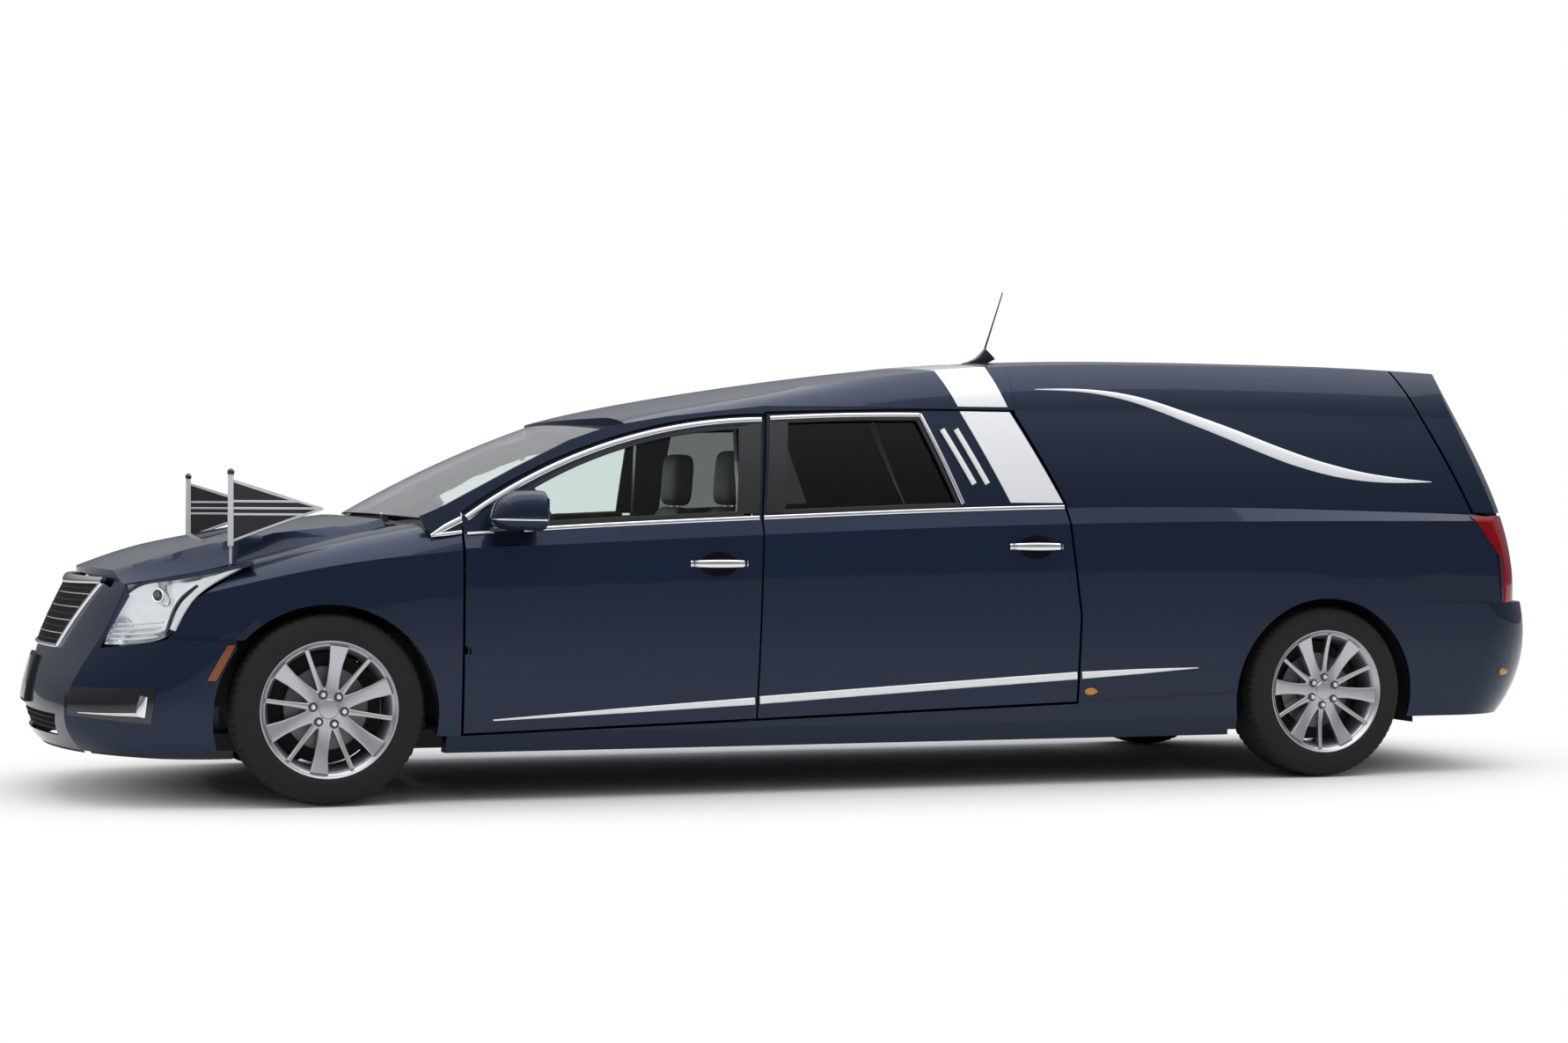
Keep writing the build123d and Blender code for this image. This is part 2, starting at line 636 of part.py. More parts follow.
def floor_pan():
    """Floor between the sills, raised over the rear axle."""
    z0, z1 = FLOOR_Z, REAR_FLOOR_Z
    t = FLOOR_T
    body = prism_y(-740, 740, (440, z0), (3470, z0), (3640, z1), (4930, z1), (4930, z1 + t), (3622, z1 + t),
                   (3452, z0 + t), (440, z0 + t))
    notch = block(3560, 5000, 620, 800, 0, 900)
    rail = block(640, 3400, 420, 500, 190, z0)
    tunnel = block(700, 3300, -110, 110, z0 + t, z0 + t + 110) - block(600, 3400, -90, 90, 0, z0 + t + 90)
    body = body - notch - left(notch) - block(600, 3320, -90, 90, 0, z0 + t)
    return biggest(body + rail + left(rail) + tunnel)


def front_structure():
    """Bulkhead, frame rails and bumper beam ahead of the cabin."""
    wall = prism_x(410, 430, (-470, 245), (470, 245), (470, 740), (735, 740), (735, 1000), (-735, 1000), (-735, 740),
                   (-470, 740))
    shelf = prism_z(980, 1000, (270, -735), ((160, 0), (270, 735)), (430, 735), (430, -735))
    ear_space = block(250, 300, 709, 740, 970, 1010)
    shelf = shelf - [ear_space, left(ear_space)]
    rail = block(-845, 430, 396, 456, 500, 600)
    beam = block(-862, -820, -470, 470, 430, 530)
    x, z, r = HOOD_PIN
    lug = block(x - 3, x + 60, 690, 712, 985, z) + rod_y(x, z, r, 690, 733)
    joined = wall + shelf + rail + left(rail) + beam + lug + left(lug)
    joined = joined + block(430, 440, -735, 735, 245, 260)
    return biggest(joined)


def engine():
    """Engine and gearbox as one block."""
    core = block(-430, 150, -360, 360, 330, 800)
    sump = block(-330, 60, -300, 300, 232, 330)
    return core + sump


def front_subframe():
    """Cradle with the lower arms and ball joints."""
    rail = block(-420, 640, 340, 392, 160, 232)
    arm = block(-38, 38, 392, KING_Y + 22, 156, 188)
    pin = rod_z(0, KING_Y, 12, 180, 236)
    pad = block(480, 640, 340, 392, 225, FLOOR_Z)
    half = rail + arm + pin + pad
    cross = block(-420, -340, -345, 345, 170, 228) + block(280, 360, -345, 345, 170, 228)
    mounts = block(-330, 60, -340, -300, 200, 330) + block(-330, 60, 300, 340, 200, 330)
    return half + left(half) + cross + mounts


def knuckle():
    """Right front knuckle with spindle and brake caliper bracket."""
    upright = block(-42, 42, KING_Y - 30, KING_Y + 26, 192, 500)
    spindle = rod_y(0, AXLE_Z, SPINDLE_R, KING_Y + 20, WHEEL_Y - 8)
    arm = block(40, 130, KING_Y - 28, KING_Y, 300, 326)
    caliper = block(120, 168, KING_Y - 24, KING_Y + 38, 300, 430)
    bracket = block(38, 130, KING_Y - 20, KING_Y + 18, 350, 390)
    solid = upright + spindle + arm + bracket + caliper
    return biggest(solid - rod_z(0, KING_Y, 12 + RUN_GAP, 100, 237))


def rear_axle():
    """Rear subframe beam with spindles and mounts."""
    x = WHEELBASE
    beam = block(x - 70, x + 70, -560, 560, 290, 410)
    spindle = rod_y(x, AXLE_Z, SPINDLE_R, 555, 780)
    hub = block(x - 50, x + 50, 555, 690, 260, 450)
    mount = block(x - 180, x - 110, 400, 470, 380, REAR_FLOOR_Z) + block(x + 110, x + 180, 400, 470, 380, REAR_FLOOR_Z)
    link = block(x - 180, x + 180, 400, 470, 330, 400)
    half = spindle + hub + mount + link
    return biggest(beam + half + left(half))


def wheel_profile(points):
    """Turned shape about the wheel axis from (radius, offset) points."""
    wire = ring((points[0][0], points[0][1], 0), *[as3(p, lambda q: (q[0], q[1], 0)) for p in points[1:]])
    return Solid.revolve(Face(wire), 360, Axis.Y)


def tyre():
    """Tyre, hollow, open towards the rim."""
    b = RIM_R + 2
    w = RIM_W / 2 - 14
    s = TYRE_W / 2
    r = TYRE_R
    f = FLANGE_R + 1
    return wheel_profile([
        (b, -w), (f, -w), (f, -s + 8), ((r - 52, -s), (r - 16, -s + 12)), ((r - 4, -s + 20), (r, -s + 34)),
        (r, s - 34), ((r - 4, s - 20), (r - 16, s - 12)), ((r - 52, s), (f, s - 8)), (f, w), (b, w),
        (b, w - 16), (b + 40, s - 16), (r - 22, s - 30), (r - 13, 0), (r - 22, -s + 30), (b + 40, -s + 16),
        (b, -w + 16)])


def alloy():
    """Alloy wheel with six broad and six narrow spokes, hub and brake disc."""
    h = RIM_W / 2
    barrel = wheel_profile([
        (FLANGE_R - 15, -h), (FLANGE_R, -h), (FLANGE_R, -h + 12), (RIM_R, -h + 13), (RIM_R, h - 13),
        (FLANGE_R, h - 12), (FLANGE_R, h), (FLANGE_R - 13, h), (FLANGE_R - 15, h - 16), (RIM_R - 12, h - 30),
        (RIM_R - 12, -h + 20)])
    hub = wheel_profile([(SPINDLE_R + RUN_GAP, -34), (62, -34), (72, -20), (72, 20), (78, 50), (84, 84), (0, 88), (0, 0),
                         (SPINDLE_R + RUN_GAP, 0)])
    disc = wheel_profile([(60, -20), (166, -20), (166, 6), (60, 6)])
    body = barrel + hub + disc
    for i in range(6):
        broad = prism_z(60, RIM_R - 6, (-29, 64), (29, 64), (29, 100), (-29, 100))
        slim = prism_z(60, RIM_R - 6, (-11, 66), (11, 66), (8, 100), (-8, 100))
        body = body + Rot(0, i * 60, 0) * broad + Rot(0, i * 60 + 30, 0) * slim
    return biggest(body)


def seat():
    """Right front seat on its base."""
    y0, y1 = 130, 640
    base = block(1120, 1540, y0 + 60, y1 - 60, FLOOR_TOP, 430)
    cushion = prism_y(y0, y1, (1060, 430), (1560, 400), (1560, 520), (1060, 560))
    back = prism_y(y0, y1, (1450, 430), (1590, 420), (1720, 1080), (1620, 1110))
    rest = prism_y(y0 + 120, y1 - 120, (1640, 1090), (1710, 1070), (1700, 1320), (1610, 1330))
    return biggest(base + cushion + back + rest)


def dashboard():
    """Dashboard across the cabin."""
    return prism_y(-735, 735, (430, 640), (430, 985), ((640, 1030), (800, 960)), (840, 880), (760, 640))


def steering_wheel(dash):
    """Steering wheel on its column."""
    tilt = 64
    spot = Pos(905, -380, 1010) * Rot(0, tilt, 0)
    rim = spot * Torus(178, 15)
    spoke = spot * (Box(356, 26, 10) + Box(26, 356, 10) + Cylinder(46, 40))
    column = spot * Pos(0, 0, -95) * Cylinder(28, 200)
    return biggest((rim + spoke + column) - dash)


def casket_deck():
    """Loading deck with side ribs down to the floor."""
    top = DECK_Z + DECK_T
    deck = block(1960, 4920, -600, 600, DECK_Z, top)
    rib = prism_y(430, 460, (1960, FLOOR_TOP), (3446, FLOOR_TOP), (3622, REAR_FLOOR_Z + FLOOR_T),
                  (4900, REAR_FLOOR_Z + FLOOR_T), (4900, DECK_Z + 1), (1960, DECK_Z + 1))
    front = block(1960, 1990, -600, 600, FLOOR_TOP, DECK_Z + 1) - block(1900, 2100, -115, 115, 0, 385)
    body = deck + rib + left(rib) + front
    for i in range(10):
        x = 2200 + i * 285
        body = body + Pos(x, 0, top - 2) * Rot(90, 0, 0) * Cylinder(14, 700)
    return biggest(body)


def flag():
    """Right fender flag: pole, ball and stiff pennant."""
    x, y = -335, 739
    pole = rod_z(x, y, 4, 850, 955) + rod_z(x, y, 9, 948, 1200) + Pos(x, y, 1212) * Sphere(13)
    cloth = prism_y(y - 2, y + 2, (x, 1178), (0, 1075), (x, 952))
    return pole + cloth


def antenna():
    """Roof antenna with its foot."""
    foot = block(2815, 2890, -22, 22, 1690, 1735)
    lean = math.degrees(math.atan2(169, 290))
    mast = Pos(2853, 0, 1722) * Rot(0, lean, 0) * Pos(0, 0, 165) * Cylinder(4, 340)
    return foot + mast


def exhaust():
    """Exhaust pipe and silencer under the floor."""
    pipe = Pos(1940, 0, 225) * Rot(0, 90, 0) * Cylinder(28, 2600)
    can = block(3180, 3440, -250, 250, 130, 236)
    hanger = block(3200, 3420, -60, 60, 230, FLOOR_Z)
    return pipe + can + hanger


def fuel_tank():
    """Fuel tank behind the rear axle."""
    return block(4330, 4800, -480, 480, 340, REAR_FLOOR_Z)


def mirror_housing(door):
    """Right door mirror on its foot."""
    shell = Pos(690, 985, 1068) * Rot(0, 0, 12) * Box(110, 200, 120)
    shell = fillet(shell.edges(), 24)
    foot = block(650, 745, 893, 965, 972, 1016)
    return biggest((shell + foot) - door)


def handle(x, z, door):
    """Bar handle on a right door."""
    grip = block(x, x + 225, 938, 952, z - 13, z + 13)
    feet = block(x + 4, x + 34, 900, 940, z - 10, z + 10) + block(x + 190, x + 221, 900, 940, z - 10, z + 10)
    return biggest((grip + feet) - door)


def liner(x, inner):
    """Right wheel arch liner."""
    shell = arch(x, LINER_R + LINER_T, inner, FLANGE_IN - 1) - arch(x, LINER_R + RUN_GAP, 400, 1000)
    return shell & block(x - 500, x + 500, 400, 900, 300, 900)


PIECES = {}


def put(name, shape):
    """Keep a piece under its node name."""
    PIECES[name] = shape


def both(name, right):
    """Keep a right piece and its mirrored left one."""
    put(name + "_right", right)
    put(name + "_left", left(right))


def build():
    """Make every piece in the working frame."""
    wall = side_wall()
    glass = glass_wall()
    front_door = make_door(wall, front_door_outline(), front_window(), HINGE_FRONT_X)
    rear_side_door = make_door(wall, rear_door_outline(), rear_window(), HINGE_REAR_X)
    both("door_front", front_door)
    both("door_rear", rear_side_door)
    both("window_front", biggest(glass & prism_y(600, 1000, *front_window(-SEAT_GAP))))
    both("window_rear", biggest(glass & prism_y(600, 1000, *rear_window(-SEAT_GAP))))
    side = body_side(wall)
    both("body_side", side)
    roof = roof_shell()
    put("roof", roof)
    nose = nose_solid()
    fend = fender(lamp_range(SEAT_GAP))
    both("fender", fend)
    put("front_bumper", front_bumper(nose))
    put("grille", grille(nose))
    lamp = headlamp(nose)
    put("headlamps", Compound([lamp, left(lamp)]))
    put("hood", hood())
    put("cowl", cowl())
    put("windscreen", windscreen([side, left(side), roof]))
    outer = tail_fill(0)
    put("rear_door", rear_door(outer, tail_fill(60)))
    put("rear_door_glass", rear_door_glass())
    tail = tail_lamp(outer)
    put("tail_lamps", Compound([tail, left(tail)]))
    put("rear_bumper", rear_bumper())
    put("floor_pan", floor_pan())
    put("front_structure", front_structure())
    put("engine", engine())
    put("front_subframe", front_subframe())
    both("knuckle", knuckle())
    put("rear_axle", rear_axle())
    put("fuel_tank", fuel_tank())
    put("exhaust", exhaust())
    ring_tyre = tyre()
    wheel = alloy()
    for name, x in (("front", 0.0), ("rear", WHEELBASE)):
        place = Pos(x, WHEEL_Y, AXLE_Z)
        both("tyre_" + name, place * ring_tyre)
        both("wheel_" + name, place * wheel)
    chair = seat()
    put("seats", Compound([chair, left(chair)]))
    dash = dashboard()
    put("dashboard", dash)
    put("steering_wheel", steering_wheel(dash))
    put("casket_deck", casket_deck())
    pennant = flag() - fend
    pennant = biggest(pennant)
    put("flags", Compound([pennant, left(pennant)]))
    put("antenna", biggest(antenna() - roof))
    both("mirror", mirror_housing(front_door))
    both("handle_front", handle(1342, 875, front_door))
    both("handle_rear", handle(2640, 940, rear_side_door))
    liners = [liner(0, 480), liner(WHEELBASE, 628)]
    put("arch_liners", Compound(liners + [left(s) for s in liners]))


def main():
    """Build and write every piece."""
    os.makedirs("parts", exist_ok=True)
    build()
    for name, shape in PIECES.items():
        moved = Pos(ORIGIN_SHIFT, 0, 0) * shape
        export_step(moved, os.path.join("parts", name + ".step"))


main()
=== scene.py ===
import math

import bmesh
import bpy
import numpy as np
from mathutils import Matrix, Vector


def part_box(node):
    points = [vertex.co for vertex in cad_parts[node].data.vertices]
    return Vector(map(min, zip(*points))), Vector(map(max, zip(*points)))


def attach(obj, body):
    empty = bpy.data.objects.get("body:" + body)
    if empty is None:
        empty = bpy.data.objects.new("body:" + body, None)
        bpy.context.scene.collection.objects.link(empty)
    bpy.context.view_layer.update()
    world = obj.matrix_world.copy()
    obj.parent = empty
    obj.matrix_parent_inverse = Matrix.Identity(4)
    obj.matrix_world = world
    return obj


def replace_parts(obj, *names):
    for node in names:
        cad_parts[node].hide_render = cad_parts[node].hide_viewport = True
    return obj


bl_info = {
    "name": "Hearse dressing",
    "version": (1, 0, 0),
    "blender": (4, 5, 0),
    "location": "3D View > Sidebar > Hearse",
    "description": "Dresses the solids of a hearse with smooth panels, trim, lamps, wheels and finishes",
    "category": "Object",
}

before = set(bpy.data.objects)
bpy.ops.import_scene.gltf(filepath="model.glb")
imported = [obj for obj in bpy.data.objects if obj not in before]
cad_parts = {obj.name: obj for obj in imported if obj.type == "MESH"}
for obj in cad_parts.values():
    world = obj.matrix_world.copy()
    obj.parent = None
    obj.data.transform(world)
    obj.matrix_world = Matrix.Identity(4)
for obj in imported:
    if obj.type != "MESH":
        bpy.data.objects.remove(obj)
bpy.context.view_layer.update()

# Stations are millimetres aft of the front axle, y to the car's right, z up from the ground.
SHIFT = np.array([-2086.5, 0.0, 0.0])
WHEELBASE, WHEEL_Y, AXLE_Z = 4055.0, 788.5, 351.0
SIDES, ENDS = ("right", "left"), ("front", "rear")
AFT, OUT, UP = np.eye(3)


class HearseFinish(bpy.types.PropertyGroup):
    """Colours of the finishes."""
    paint: bpy.props.FloatVectorProperty(
        name="Paint", description="Body paint", subtype="COLOR", size=3,
        default=(0.0035, 0.0085, 0.0230), min=0, max=1)
    flake: bpy.props.FloatVectorProperty(
        name="Flake", description="Lighter flake in the paint", subtype="COLOR", size=3,
        default=(0.0190, 0.0340, 0.0740), min=0, max=1)


class HearseStage(bpy.types.PropertyGroup):
    """Camera and light."""
    lens: bpy.props.FloatProperty(
        name="Lens", description="Focal length", default=60.94, min=10, max=300)
    key_power: bpy.props.FloatProperty(
        name="Key light", description="Power of the overhead light", subtype="POWER", default=420.0, min=0)


def settings():
    """The two groups of values that a user may change."""
    return bpy.context.scene.hearse_finish, bpy.context.scene.hearse_stage


# Materials

def new_node(tree, kind, **values):
    """Add a node and set its attributes and input defaults by name."""
    node = tree.nodes.new(kind)
    for key, value in values.items():
        if key in node.inputs:
            node.inputs[key].default_value = value
        else:
            setattr(node, key, value)
    return node


def wire(tree, *links):
    """Join sockets: each link is a node and its output, then another node and its input."""
    for source, out, target, into in links:
        tree.links.new(source.outputs[out], target.inputs[into])


def texture_group():
    """Shader group: two colours, a roughness and a height, all drifting with one stretched noise."""
    made = bpy.data.node_groups.get("surface_texture")
    if made:
        return made
    group = bpy.data.node_groups.new("surface_texture", "ShaderNodeTree")
    for way, sockets in (("INPUT", (("Vector", "Vector"), ("Scale", "Float"), ("Colour", "Color"),
                                    ("Second colour", "Color"), ("Roughness", "Float"),
                                    ("Roughness spread", "Float"))),
                         ("OUTPUT", (("Colour", "Color"), ("Roughness", "Float"), ("Height", "Float")))):
        for name, kind in sockets:
            group.interface.new_socket(name, in_out=way, socket_type="NodeSocket" + kind)
    source = group.nodes.new("NodeGroupInput")
    sink = group.nodes.new("NodeGroupOutput")
    noise = new_node(group, "ShaderNodeTexNoise", Detail=3.0, Roughness=0.6)
    mix = new_node(group, "ShaderNodeMix", data_type="RGBA")
    span = new_node(group, "ShaderNodeMath", operation="MULTIPLY_ADD")
    centre = new_node(group, "ShaderNodeMath", operation="SUBTRACT")
    centre.inputs[1].default_value = 0.5
    wire(group, (source, "Vector", noise, "Vector"), (source, "Scale", noise, "Scale"),
         (noise, "Fac", mix, "Factor"), (source, "Colour", mix, "A"), (source, "Second colour", mix, "B"),
         (noise, "Fac", centre, 0), (centre, 0, span, 0), (source, "Roughness spread", span, 1),
         (source, "Roughness", span, 2), (mix, "Result", sink, "Colour"), (span, 0, sink, "Roughness"),
         (noise, "Fac", sink, "Height"))
    return group


# Finishes: the record's slot, two colours that drift into each other (none: the user's paint), roughness, its
# spread, the noise's scale; then relief and height, the noise's stretch, and the shader's own sockets.
FINISHES = {
    "navy_paint": ("body_paint", None, None, 0.36, 0.10, 900.0, dict(
        Metallic=0.55, Coat_Weight=1.0, Coat_Roughness=0.03, Coat_IOR=1.28, Specular_IOR_Level=0.15)),
    # painted shade: a darker navy than the body paint, standing in for the shade inside the handle cups
    "painted_cup_shade": ("body_paint", (0.0008, 0.0014, 0.0032), (0.0020, 0.0032, 0.0064), 0.45, 0.10, 900.0, dict(
        Specular_IOR_Level=0.12)),
    "bright_trim": ("bright_trim", (0.93, 0.94, 0.95), (0.88, 0.89, 0.91), 0.22, 0.06, 14.0, dict(
        Metallic=0.55)),
    "gloss_black": ("black_trim", (0.010, 0.010, 0.011), (0.016, 0.016, 0.018), 0.12, 0.05, 25.0, dict(
        Coat_Weight=0.5, Coat_Roughness=0.03)),
    "black_trim": ("black_trim", (0.012, 0.012, 0.013), (0.022, 0.022, 0.023), 0.55, 0.2, 700.0, dict(
        bump=0.25, height=0.0006)),
    "clear_glass": ("glass", (0.80, 0.86, 0.85), (0.77, 0.83, 0.82), 0.0, 0.0, 2.0, dict(
        Transmission_Weight=1.0, IOR=1.2)),
    "screen_glass": ("glass", (0.90, 0.94, 0.93), (0.87, 0.91, 0.90), 0.0, 0.0, 2.0, dict(
        Transmission_Weight=1.0, IOR=1.5)),
    "dark_glass": ("glass", (0.17, 0.18, 0.18), (0.14, 0.15, 0.15), 0.0, 0.0, 2.0, dict(
        Transmission_Weight=1.0, IOR=1.3)),
    "mirror_glass": ("glass", (0.62, 0.66, 0.68), (0.58, 0.62, 0.64), 0.03, 0.02, 8.0, dict(Metallic=1.0)),
    "tyre_rubber": ("tyre", (0.013, 0.013, 0.0133), (0.023, 0.023, 0.0235), 0.80, 0.2, 260.0, dict(
        bump=0.3, height=0.0008, Specular_IOR_Level=0.25)),
    "wheel_alloy": ("alloy", (0.46, 0.47, 0.49), (0.54, 0.55, 0.57), 0.34, 0.12, 420.0, dict(
        Metallic=0.9, Coat_Weight=0.6, Coat_Roughness=0.05)),
    "silver_paint": ("alloy", (0.86, 0.87, 0.88), (0.92, 0.93, 0.94), 0.34, 0.10, 900.0, dict(
        Metallic=0.10, Coat_Weight=0.8, Coat_Roughness=0.03)),
    "under_steel": ("under_steel", (0.05, 0.05, 0.052), (0.11, 0.105, 0.10), 0.6, 0.3, 45.0, dict(
        bump=0.3, height=0.001, Metallic=0.6)),
    "brake_steel": ("under_steel", (0.10, 0.10, 0.105), (0.22, 0.215, 0.21), 0.42, 0.2, 180.0, dict(
        Metallic=0.9)),
    "under_coat": ("black_trim", (0.010, 0.010, 0.010), (0.020, 0.020, 0.020), 0.85, 0.2, 90.0, dict(
        bump=0.12, height=0.0008)),
    "seat_hide": ("seat_trim", (0.030, 0.030, 0.033), (0.048, 0.048, 0.052), 0.5, 0.25, 380.0, dict(
        bump=0.5, height=0.0010)),
    "deck_wood": ("seat_trim", (0.055, 0.024, 0.012), (0.115, 0.055, 0.028), 0.28, 0.15, 9.0, dict(
        stretch=(0.35, 9.0, 9.0), Coat_Weight=0.4)),
    "red_lens": ("lamp_red", (0.30, 0.003, 0.008), (0.18, 0.001, 0.004), 0.12, 0.05, 90.0, dict(
        Coat_Weight=0.5, Coat_Roughness=0.02, Coat_IOR=1.3, Specular_IOR_Level=0.2)),
    "amber_lens": ("lamp_red", (0.30, 0.072, 0.008), (0.20, 0.044, 0.004), 0.12, 0.08, 320.0, dict(
        bump=0.3, height=0.0008, Coat_Weight=0.6, Coat_Roughness=0.03)),
    "yellow_lens": ("lamp_red", (0.62, 0.27, 0.012), (0.46, 0.17, 0.008), 0.15, 0.08, 300.0, dict(
        Coat_Weight=0.6, Coat_Roughness=0.03)),
    "lens_glass": ("lamp_clear", (0.97, 0.98, 0.98), (0.94, 0.95, 0.96), 0.0, 0.0, 4.0, dict(
        Transmission_Weight=1.0, IOR=1.12)),
    "lamp_chrome": ("lamp_clear", (0.84, 0.86, 0.89), (0.72, 0.74, 0.77), 0.22, 0.15, 40.0, dict(
        Metallic=0.85)),
    "lamp_eye": ("lamp_clear", (0.03, 0.032, 0.036), (0.10, 0.105, 0.115), 0.06, 0.05, 30.0, dict(
        Coat_Weight=1.0, Coat_Roughness=0.02)),
    "lamp_white": ("lamp_clear", (0.74, 0.76, 0.78), (0.66, 0.68, 0.70), 0.25, 0.1, 120.0, dict(
        Coat_Weight=0.6, Coat_Roughness=0.04)),
    "white_enamel": ("flag", (0.72, 0.73, 0.74), (0.66, 0.67, 0.68), 0.3, 0.1, 60.0, {}),
    "flag_cloth": ("flag", (0.012, 0.012, 0.013), (0.030, 0.030, 0.032), 0.8, 0.2, 900.0, dict(
        stretch=(1, 1, 2.2), bump=0.4, height=0.0006, Sheen_Weight=0.2)),
}


def finish(name):
    """Material: a principled surface whose colour, roughness and height follow the shared noise group."""
    made = bpy.data.materials.get(name)
    if made:
        return made
    _, colour, second, rough, drift, scale, more = FINISHES[name]
    if colour is None:
        colour, second = settings()[0].paint, settings()[0].flake
    sockets = dict(more)
    bump, height = sockets.pop("bump", 0.0), sockets.pop("height", 0.001)
    material = bpy.data.materials.new(name)
    material.use_nodes = True
    tree = material.node_tree
    shader = tree.nodes["Principled BSDF"]
    coords = new_node(tree, "ShaderNodeTexCoord")
    mapping = new_node(tree, "ShaderNodeMapping", Scale=sockets.pop("stretch", (1, 1, 1)))
    group = new_node(tree, "ShaderNodeGroup", node_tree=texture_group())
    for key, value in (("Scale", scale), ("Colour", (*colour, 1)), ("Second colour", (*second, 1)),
                       ("Roughness", rough), ("Roughness spread", drift)):
        group.inputs[key].default_value = value
    wire(tree, (coords, "Object", mapping, "Vector"), (mapping, "Vector", group, "Vector"),
         (group, "Colour", shader, "Base Color"), (group, "Roughness", shader, "Roughness"))
    if bump:
        relief = new_node(tree, "ShaderNodeBump", Strength=bump, Distance=height)
        wire(tree, (group, "Height", relief, "Height"), (relief, "Normal", shader, "Normal"))
    for key, value in sockets.items():
        shader.inputs[key.replace("_", " ")].default_value = value
    return material


# Section tables. Side wall: station, y of sill, rocker and middle, then z and y of shoulder, belt and top
SIDE = (
    (270, 850, 896, 920, 925, 919, 968, 892, 1478, 742),
    (1000, 850, 902, 925, 955, 925, 1015, 897, 1478, 772),
    (1640, 850, 904, 926, 985, 926, 1046, 898, 1478, 796),
    (2900, 850, 904, 926, 1030, 926, 1093, 897, 1478, 814),
    (4000, 850, 904, 926, 1045, 924, 1092, 893, 1478, 812),
    (4600, 845, 896, 914, 1048, 911, 1080, 878, 1478, 797),
    (5000, 800, 845, 862, 1050, 860, 1075, 832, 1478, 766),
    (5220, 720, 770, 790, 1050, 790, 1072, 765, 1478, 724),
)
SILL_Z, ROCKER_Z, SEAM_Z, LEAN = 180.0, 255.0, 1478.0, 12.0
# Roof: station, base z, base y, eave z, eave y, crown z
ROOF = (
    (940, 1344, 811, 1388, 640, 1417),
    (1280, 1424, 797, 1468, 668, 1500),
    (1675, 1472, 799, 1530, 700, 1570),
    (2200, 1478, 808, 1606, 718, 1645),
    (3000, 1478, 814, 1668, 722, 1708),
    (4000, 1478, 812, 1678, 718, 1718),
    (4600, 1478, 797, 1668, 706, 1708),
    (5150, 1478, 759, 1640, 680, 1680),
)
KNEE_SHARE_Y, KNEE_DROP, KNEE_SHARE_Z = 0.30, 8.0, 0.55
SIDE_SHARE, TOP_SHARE = 0.2, 0.6  # of a roof section's run: each side arc, the top arc
# Nose by height: z, centre x, corner x, corner y, mid x, mid y, side y at the back end
NOSE = (
    (190, -950, -830, 600, -640, 780, 850),
    (300, -1012, -905, 640, -690, 810, 882),
    (430, -1002, -890, 660, -660, 828, 892),
    (590, -957, -800, 690, -600, 835, 897),
    (740, -893, -725, 690, -540, 828, 890),
    (870, -828, -650, 670, -470, 815, 880),
)
NOSE_BACK = -250.0
# Rear door and rear bumper by height: z, centre x, corner x, corner y, mid x, mid y, side x, side y
TAIL = (
    (640, 5108, 5078, 560, 5020, 760, 4640, 935),
    (1060, 5050, 5020, 560, 4965, 765, 4600, 930),
    (1400, 4908, 4880, 520, 4820, 720, 4440, 900),
    (1740, 4725, 4700, 500, 4640, 680, 4260, 850),
)
TAIL_BUMPER = (
    (240, 5070, 5040, 560, 4960, 740, 4700, 872),
    (400, 5160, 5128, 580, 5045, 762, 4740, 896),
    (590, 5185, 5152, 590, 5072, 772, 4760, 908),
    (706, 5168, 5135, 590, 5052, 776, 4740, 912),
)
# Hood: station, edge y, edge z, crown z; and the crease along each side: station, y, z
HOOD = ((-860, 560, 768, 838), (-600, 642, 816, 930), (-420, 692, 850, 968), (-150, 714, 922, 1018),
        (150, 727, 993, 1056), (330, 735, 1035, 1078))
CREASE = ((-860, 490, 806), (-667, 560, 866), (-425, 640, 938), (-208, 676, 980), (110, 698, 1018),
          (269, 712, 1048))
# Quarter skin: span and heights of the smoothing, and how far the skin stands off the wall
SMOOTH_REACH, SMOOTH_LOW, SMOOTH_HIGH, SKIN_LIFT = 110.0, 1290.0, 1600.0, 1.6


# Curves and surfaces

def spline(table, x):
    """Natural cubic spline through the rows of a table by its first column, every other column at once."""
    rows = np.asarray(table, float)
    knots, values = rows[:, 0], rows[:, 1:]
    n = len(knots)
    step = np.diff(knots)
    slope = np.diff(values, axis=0) / step[:, None]
    system = np.eye(n)
    inner = np.arange(1, n - 1)
    system[inner, inner - 1], system[inner, inner], system[inner, inner + 1] = (
        step[:-1], 2 * (step[:-1] + step[1:]), step[1:])
    right = np.zeros_like(values)
    right[1:-1] = 6 * np.diff(slope, axis=0)
    bend = np.linalg.solve(system, right)
    x = np.asarray(x, float)
    i = np.clip(np.searchsorted(knots, x) - 1, 0, n - 2)
    d = (knots[i + 1] - knots[i])[..., None]
    p = (knots[i + 1] - x)[..., None] / d
    q = 1 - p
    curve = ((p ** 3 - p) * bend[i] + (q ** 3 - q) * bend[i + 1]) * d ** 2 / 6
    return p * values[i] + q * values[i + 1] + curve


def columns(table, x):
    """The spline's columns as separate arrays."""
    return np.moveaxis(spline(table, x), -1, 0)


def circle(a, b, c):
    """Centre and radius of the circle through three points given as pairs of arrays."""
    (ax, ay), (bx, by), (cx, cy) = a, b, c
    d = 2 * (ax * (by - cy) + bx * (cy - ay) + cx * (ay - by))
    sa, sb, sc = ax ** 2 + ay ** 2, bx ** 2 + by ** 2, cx ** 2 + cy ** 2
    ux = (sa * (by - cy) + sb * (cy - ay) + sc * (ay - by)) / d
    uy = (sa * (cx - bx) + sb * (ax - cx) + sc * (bx - ax)) / d
    return ux, uy, np.hypot(ax - ux, ay - uy)


